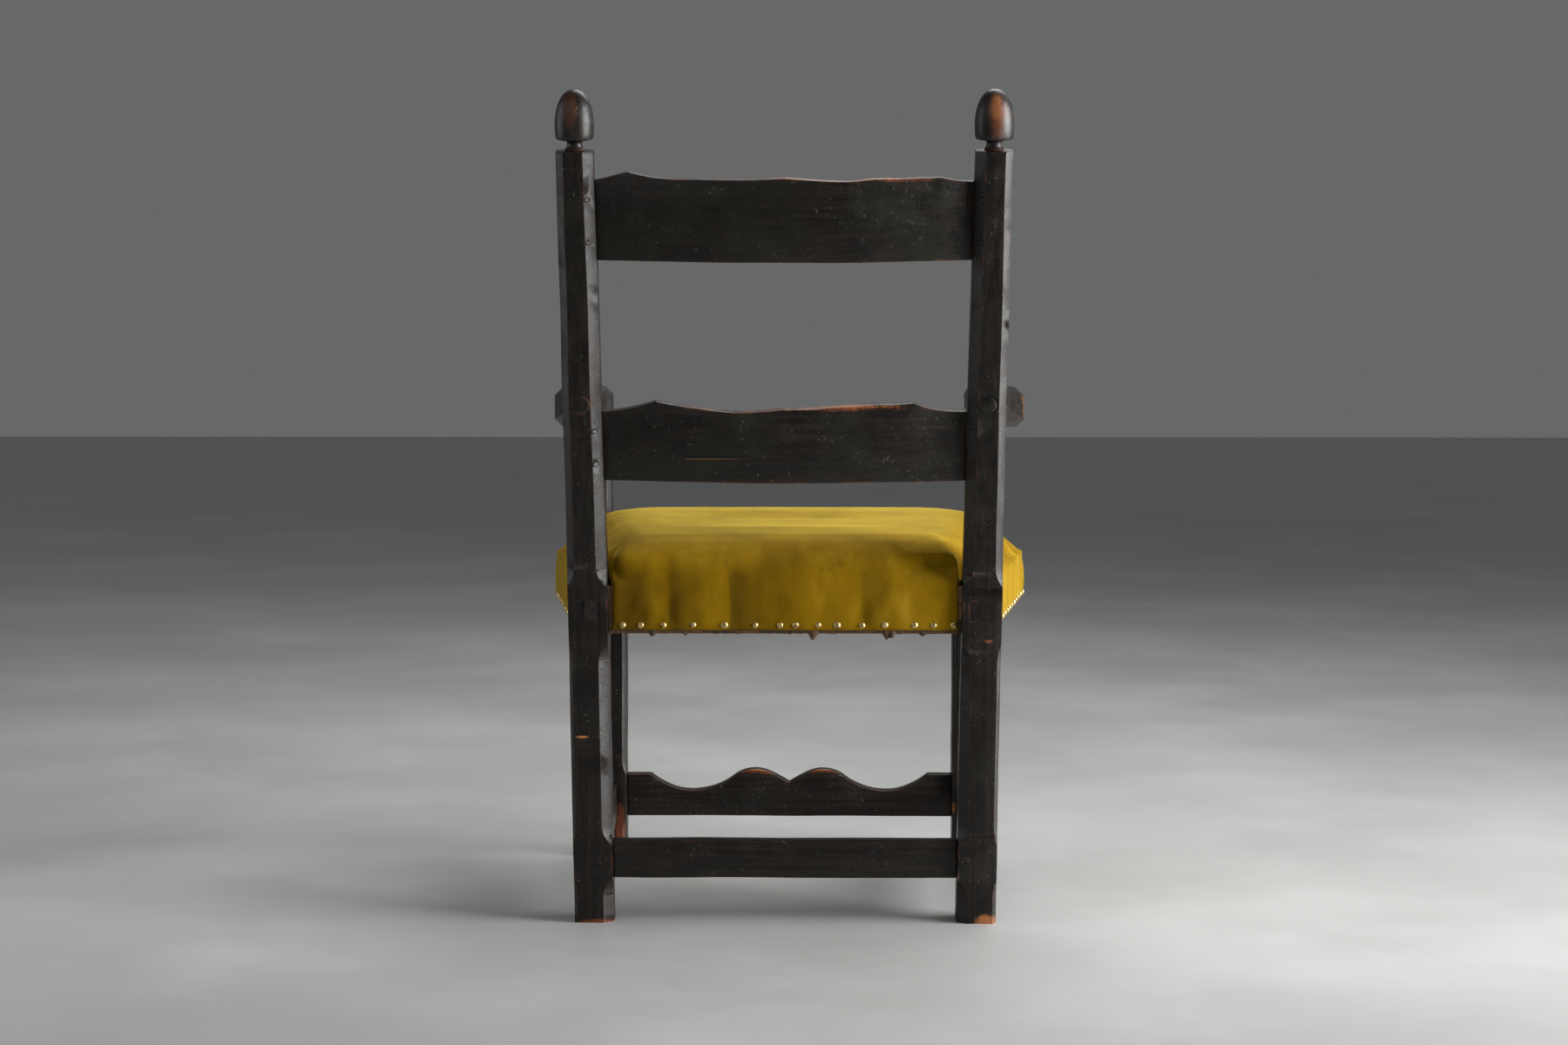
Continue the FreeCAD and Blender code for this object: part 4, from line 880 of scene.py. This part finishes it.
def velvetSeat():
    piece = seatBlank()
    cutForWood(piece)
    openedUnder(piece)
    swollen(piece)
    shape = bmesh.new()
    shape.from_mesh(piece.data)
    ironed(shape, seat["ironing"])
    for corner in shape.verts:
        corner.co = clearOfWood(tugged(corner.co))
    shape.to_mesh(piece.data)
    shape.free()
    thickened(piece, seat["thickness"], -1.0)
    for polygon in piece.data.polygons:
        polygon.use_smooth = True
    return settle(piece, "velvet_cover")


seatPiece = velvetSeat()
print("velvet seat made", len(seatPiece.data.polygons))

# Hair stuffing under the velvet, drawn in from it on every side.
stuffingShape = {"drawIn": 42 * mm, "lowered": 30 * mm}


def hairStuffing():
    low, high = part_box("seat_stuffing")
    middle = (low + high) / 2
    half = (high - low) / 2
    shape = solidOf("seat_stuffing")
    for corner in shape.verts:
        for index in (0, 1):
            share = 1 - stuffingShape["drawIn"] / half[index]
            corner.co[index] = middle[index] + (corner.co[index] - middle[index]) * share
        corner.co.z -= stuffingShape["lowered"] * (corner.co.z - low.z) / (high.z - low.z)
    piece = pieceFrom("hair_stuffing", shape, hessianJute)
    return settle(piece, "seat_stuffing")


hairStuffing()
print("seat stuffed")

# Torn strip of old leather under the hem along the rear rail.
strip = {
    "step": 2.0 * mm,
    "rows": 7,
    "top": 388 * mm,
    "edge": 370.5 * mm,
    "ragged": 2.2 * mm,
    "raggedScale": 160,
    "crinkle": 0.8 * mm,
    "crinkleScale": (70, 90),
    "thickness": 1.2 * mm,
    "shreds": [  # place along the rail, half width, extra length, curl outwards
        (168, 5, 4, 2), (127, 4, 3, 1), (-36, 6, 9, 4), (-129, 5, 10, 3), (-136, 4, 6, 6), (-175, 5, 4, 2),
    ],
    "blunt": 0.7,
}


# Height of the torn edge and its curl outwards, at a place along the rail.
def tornAt(x):
    torn = strip["edge"] + noise.noise(Vector((x * strip["raggedScale"], 0.3, 1.7))) * strip["ragged"]
    curl = 0.0
    for shred in strip["shreds"]:
        place, half, extra, out = (number * mm for number in shred)
        share = max(0.0, 1 - abs(x - place) / half)
        torn = torn - extra * share ** strip["blunt"]
        curl = max(curl, out * share)
    return torn, curl


def tornLeather():
    low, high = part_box("leather_strip")
    columns = int((high.x - low.x) / strip["step"])
    alongScale, upScale = strip["crinkleScale"]
    shape = bmesh.new()
    lines = []
    for column in range(columns + 1):
        x = low.x + (high.x - low.x) * column / columns
        torn, curl = tornAt(x)
        line = []
        for row in range(strip["rows"] + 1):
            down = row / strip["rows"]
            z = strip["top"] + (torn - strip["top"]) * down
            crinkle = abs(noise.noise(Vector((x * alongScale, z * upScale, 4.0)))) * strip["crinkle"]
            line.append(shape.verts.new((x, high.y + curl * down ** 2 + crinkle, z)))
        lines.append(line)
    for left, right in zip(lines, lines[1:]):
        for row in range(strip["rows"]):
            shape.faces.new((left[row], left[row + 1], right[row + 1], right[row]))
    bmesh.ops.recalc_face_normals(shape, faces=shape.faces)
    piece = pieceFrom("torn_leather", shape, leather)
    thickened(piece, strip["thickness"], 0.0)
    return settle(piece, "leather_strip")


tornLeather()
print("leather torn")

# Dome nails along the hem, one tree for every row.
nails = {
    "radius": 4.6 * mm,
    "dome": 0.62,
    "segments": 18,
    "rings": 10,
    "spread": 0.10,
    "seed": 7,
    "sink": 0.6 * mm,
    "reach": 60 * mm,
    "waver": 1.5 * mm,
    "waverScale": 0.09,
}


def nailTree(material):
    tree = bpy.data.node_groups.new("dome_nails", "GeometryNodeTree")
    face = tree.interface
    face.new_socket("Spots", in_out="INPUT", socket_type="NodeSocketGeometry")
    for name, size in (("Radius", nails["radius"]), ("Dome", nails["dome"]), ("Spread", nails["spread"])):
        socket = face.new_socket(name, in_out="INPUT", socket_type="NodeSocketFloat")
        socket.default_value = size
    face.new_socket("Nails", in_out="OUTPUT", socket_type="NodeSocketGeometry")
    start = Wire(tree)
    given = tree.nodes.new("NodeGroupInput")
    spots, radius, dome, spread = (Wire(tree, given.outputs[index]) for index in range(4))
    ball = start.node("GeometryNodeMeshUVSphere", {}, {"Segments": nails["segments"], "Rings": nails["rings"],
                                                       "Radius": radius})
    squat = start.node("ShaderNodeCombineXYZ", {}, {"X": 1.0, "Y": 1.0, "Z": dome})
    head = start.node("GeometryNodeTransform", {}, {"Geometry": ball, "Scale": squat})
    head = start.node("GeometryNodeSetShadeSmooth", {}, {"Geometry": head, "Shade Smooth": True})
    lean = start.node("GeometryNodeInputNamedAttribute", {"data_type": "FLOAT_VECTOR"}, {"Name": "lean"})
    turn = start.node("FunctionNodeAlignRotationToVector", {"axis": "Z"}, {"Vector": lean})
    vary = start.node("FunctionNodeRandomValue", {"data_type": "FLOAT"},
                      {"Min": 1.0 - spread, "Max": 1.0 + spread, "Seed": nails["seed"]}, out=1)
    placed = start.node("GeometryNodeInstanceOnPoints", {}, {"Points": spots, "Instance": head,
                                                             "Rotation": turn, "Scale": vary})
    solid = start.node("GeometryNodeRealizeInstances", {}, {"Geometry": placed})
    painted = start.node("GeometryNodeSetMaterial", {}, {"Geometry": solid, "Material": material})
    leaving = tree.nodes.new("NodeGroupOutput")
    tree.links.new(painted.socket, leaving.inputs[0])
    return tree


domeNails = nailTree(brass)


# Where the velvet is struck when a nail is driven straight in from outside.
def driven(spot, outward):
    away = outward * nails["reach"]
    hit, place, normal, face = seatPiece.ray_cast(spot + away, -outward, distance=2 * nails["reach"])
    return (place, normal) if hit else (spot, outward)


# The rear nails keep the height of their solids and stand where the velvet is tugged.
def rearSpots(spots):
    height, depth = spots[0].z, spots[0].y
    for x in tug["nails"]:
        waver = noise.noise(Vector((x * nails["waverScale"], 2.0, 0.0))) * nails["waver"]
        yield Vector((x * mm, depth, height + waver))


def nailRow(name, node, outward):
    spots = [sum(part, Vector()) / len(part) for part in partsOf(node)]
    spots.sort(key=lambda spot: (round(spot.x, 4), spot.y))
    if node == "nails_rear":
        spots = rearSpots(spots)
    seated = [driven(spot, outward) for spot in spots]
    mesh = bpy.data.meshes.new(name)
    mesh.from_pydata([place - normal * nails["sink"] for place, normal in seated], [], [])
    lean = mesh.attributes.new("lean", "FLOAT_VECTOR", "POINT")
    for item, (place, normal) in zip(lean.data, seated):
        item.vector = (normal + outward).normalized()
    piece = bpy.data.objects.new(name, mesh)
    bpy.context.scene.collection.objects.link(piece)
    piece.modifiers.new("nails", "NODES").node_group = domeNails
    applied(piece)
    return settle(piece, node)


flankX, flankY = math.cos(seat["flare"]), math.sin(seat["flare"])
nailRow("rear_nails", "nails_rear", Vector((0, 1, 0)))
nailRow("front_nails", "nails_front", Vector((0, -1, 0)))
nailRow("left_nails", "nails_left", Vector((flankX, flankY, 0)))
nailRow("right_nails", "nails_right", Vector((-flankX, flankY, 0)))
print("nails driven")

# Pale floor, and soft light from the right of the picture.
studio = {
    "floorDark": rgb(0.43, 0.43, 0.42),
    "floorPale": rgb(0.51, 0.51, 0.50),
    "floorSize": 14.0,
    "air": rgb(0.80, 0.81, 0.82),
    "airStrength": 0.17,
    "aim": (0.0, 0.0, 0.5),
    "lamps": {
        "key": {"place": (-2.5, 0.70, 0.98), "size": (1.8, 1.9), "power": 68, "spread": 105},
        "rim": {"place": (2.5, 0.20, 1.0), "size": (1.2, 1.8), "power": 6, "spread": 120},
        "fill": {"place": (1.8, 3.4, 2.3), "size": (2.4, 2.4), "power": 16, "spread": 180},
        "top": {"place": (-0.7, -1.5, 3.1), "size": (2.2, 2.2), "power": 66, "spread": 180},
    },
}


def paleFloor():
    shape = bmesh.new()
    bmesh.ops.create_grid(shape, x_segments=1, y_segments=1, size=studio["floorSize"])
    material, shader, start, place = finish("pale_floor", {"Specular IOR Level": 0.35})
    cloud = start.speckle(place, 1.7, 5.0, 0.6)
    plug(shader, "Base Color", start.tint(cloud.step(0.35, 0.7), studio["floorDark"], studio["floorPale"]))
    plug(shader, "Roughness", 0.30 + 0.2 * cloud)
    pieceFrom("floor", shape, material)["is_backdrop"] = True


def softLight(name, settings):
    lamp = bpy.data.lights.new(name, "AREA")
    lamp.shape = "RECTANGLE"
    lamp.size, lamp.size_y = settings["size"]
    lamp.energy = settings["power"]
    lamp.spread = math.radians(settings["spread"])
    holder = bpy.data.objects.new(name, lamp)
    holder.location = settings["place"]
    aim = Vector(studio["aim"]) - holder.location
    holder.rotation_euler = aim.to_track_quat("-Z", "Y").to_euler()
    bpy.context.scene.collection.objects.link(holder)


paleFloor()
for name, settings in studio["lamps"].items():
    softLight(f"{name}_light", settings)
world = bpy.data.worlds.new("studio_air")
world.use_nodes = True
world.node_tree.nodes["Background"].inputs["Color"].default_value = studio["air"]
world.node_tree.nodes["Background"].inputs["Strength"].default_value = studio["airStrength"]
bpy.context.scene.world = world

# The camera of the photograph stands behind the chair, at a height between its two slats.
view = {
    "lens": 69.2,
    "film": 36.0,
    "eyeHeight": 786 * mm,
    "distance": 3796 * mm,  # behind the rear feet
    "footDepth": 8 * mm,  # how far the feet stand behind the rear stretcher
    "aside": -51 * mm,
    "pitch": math.radians(4.12),
    "yaw": math.radians(0.785),
}


def photoView():
    camera = bpy.data.cameras.new("photo_view")
    camera.lens = view["lens"]
    camera.sensor_width = view["film"]
    eye = bpy.data.objects.new("photo_view", camera)
    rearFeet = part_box("rear_stretcher")[1].y + view["footDepth"]
    eye.location = (view["aside"], rearFeet + view["distance"], view["eyeHeight"])
    level = math.cos(view["pitch"])
    gaze = Vector((math.sin(view["yaw"]) * level, -math.cos(view["yaw"]) * level, -math.sin(view["pitch"])))
    eye.rotation_euler = gaze.to_track_quat("-Z", "Y").to_euler()
    bpy.context.scene.collection.objects.link(eye)
    bpy.context.scene.camera = eye


photoView()
bpy.context.scene.view_settings.view_transform = "Standard"
print("studio lit")

boxes = {"cad": cadBox, "visual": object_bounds()}
plain = {name: [[float(number) for number in corner] for corner in box] for name, box in boxes.items()}
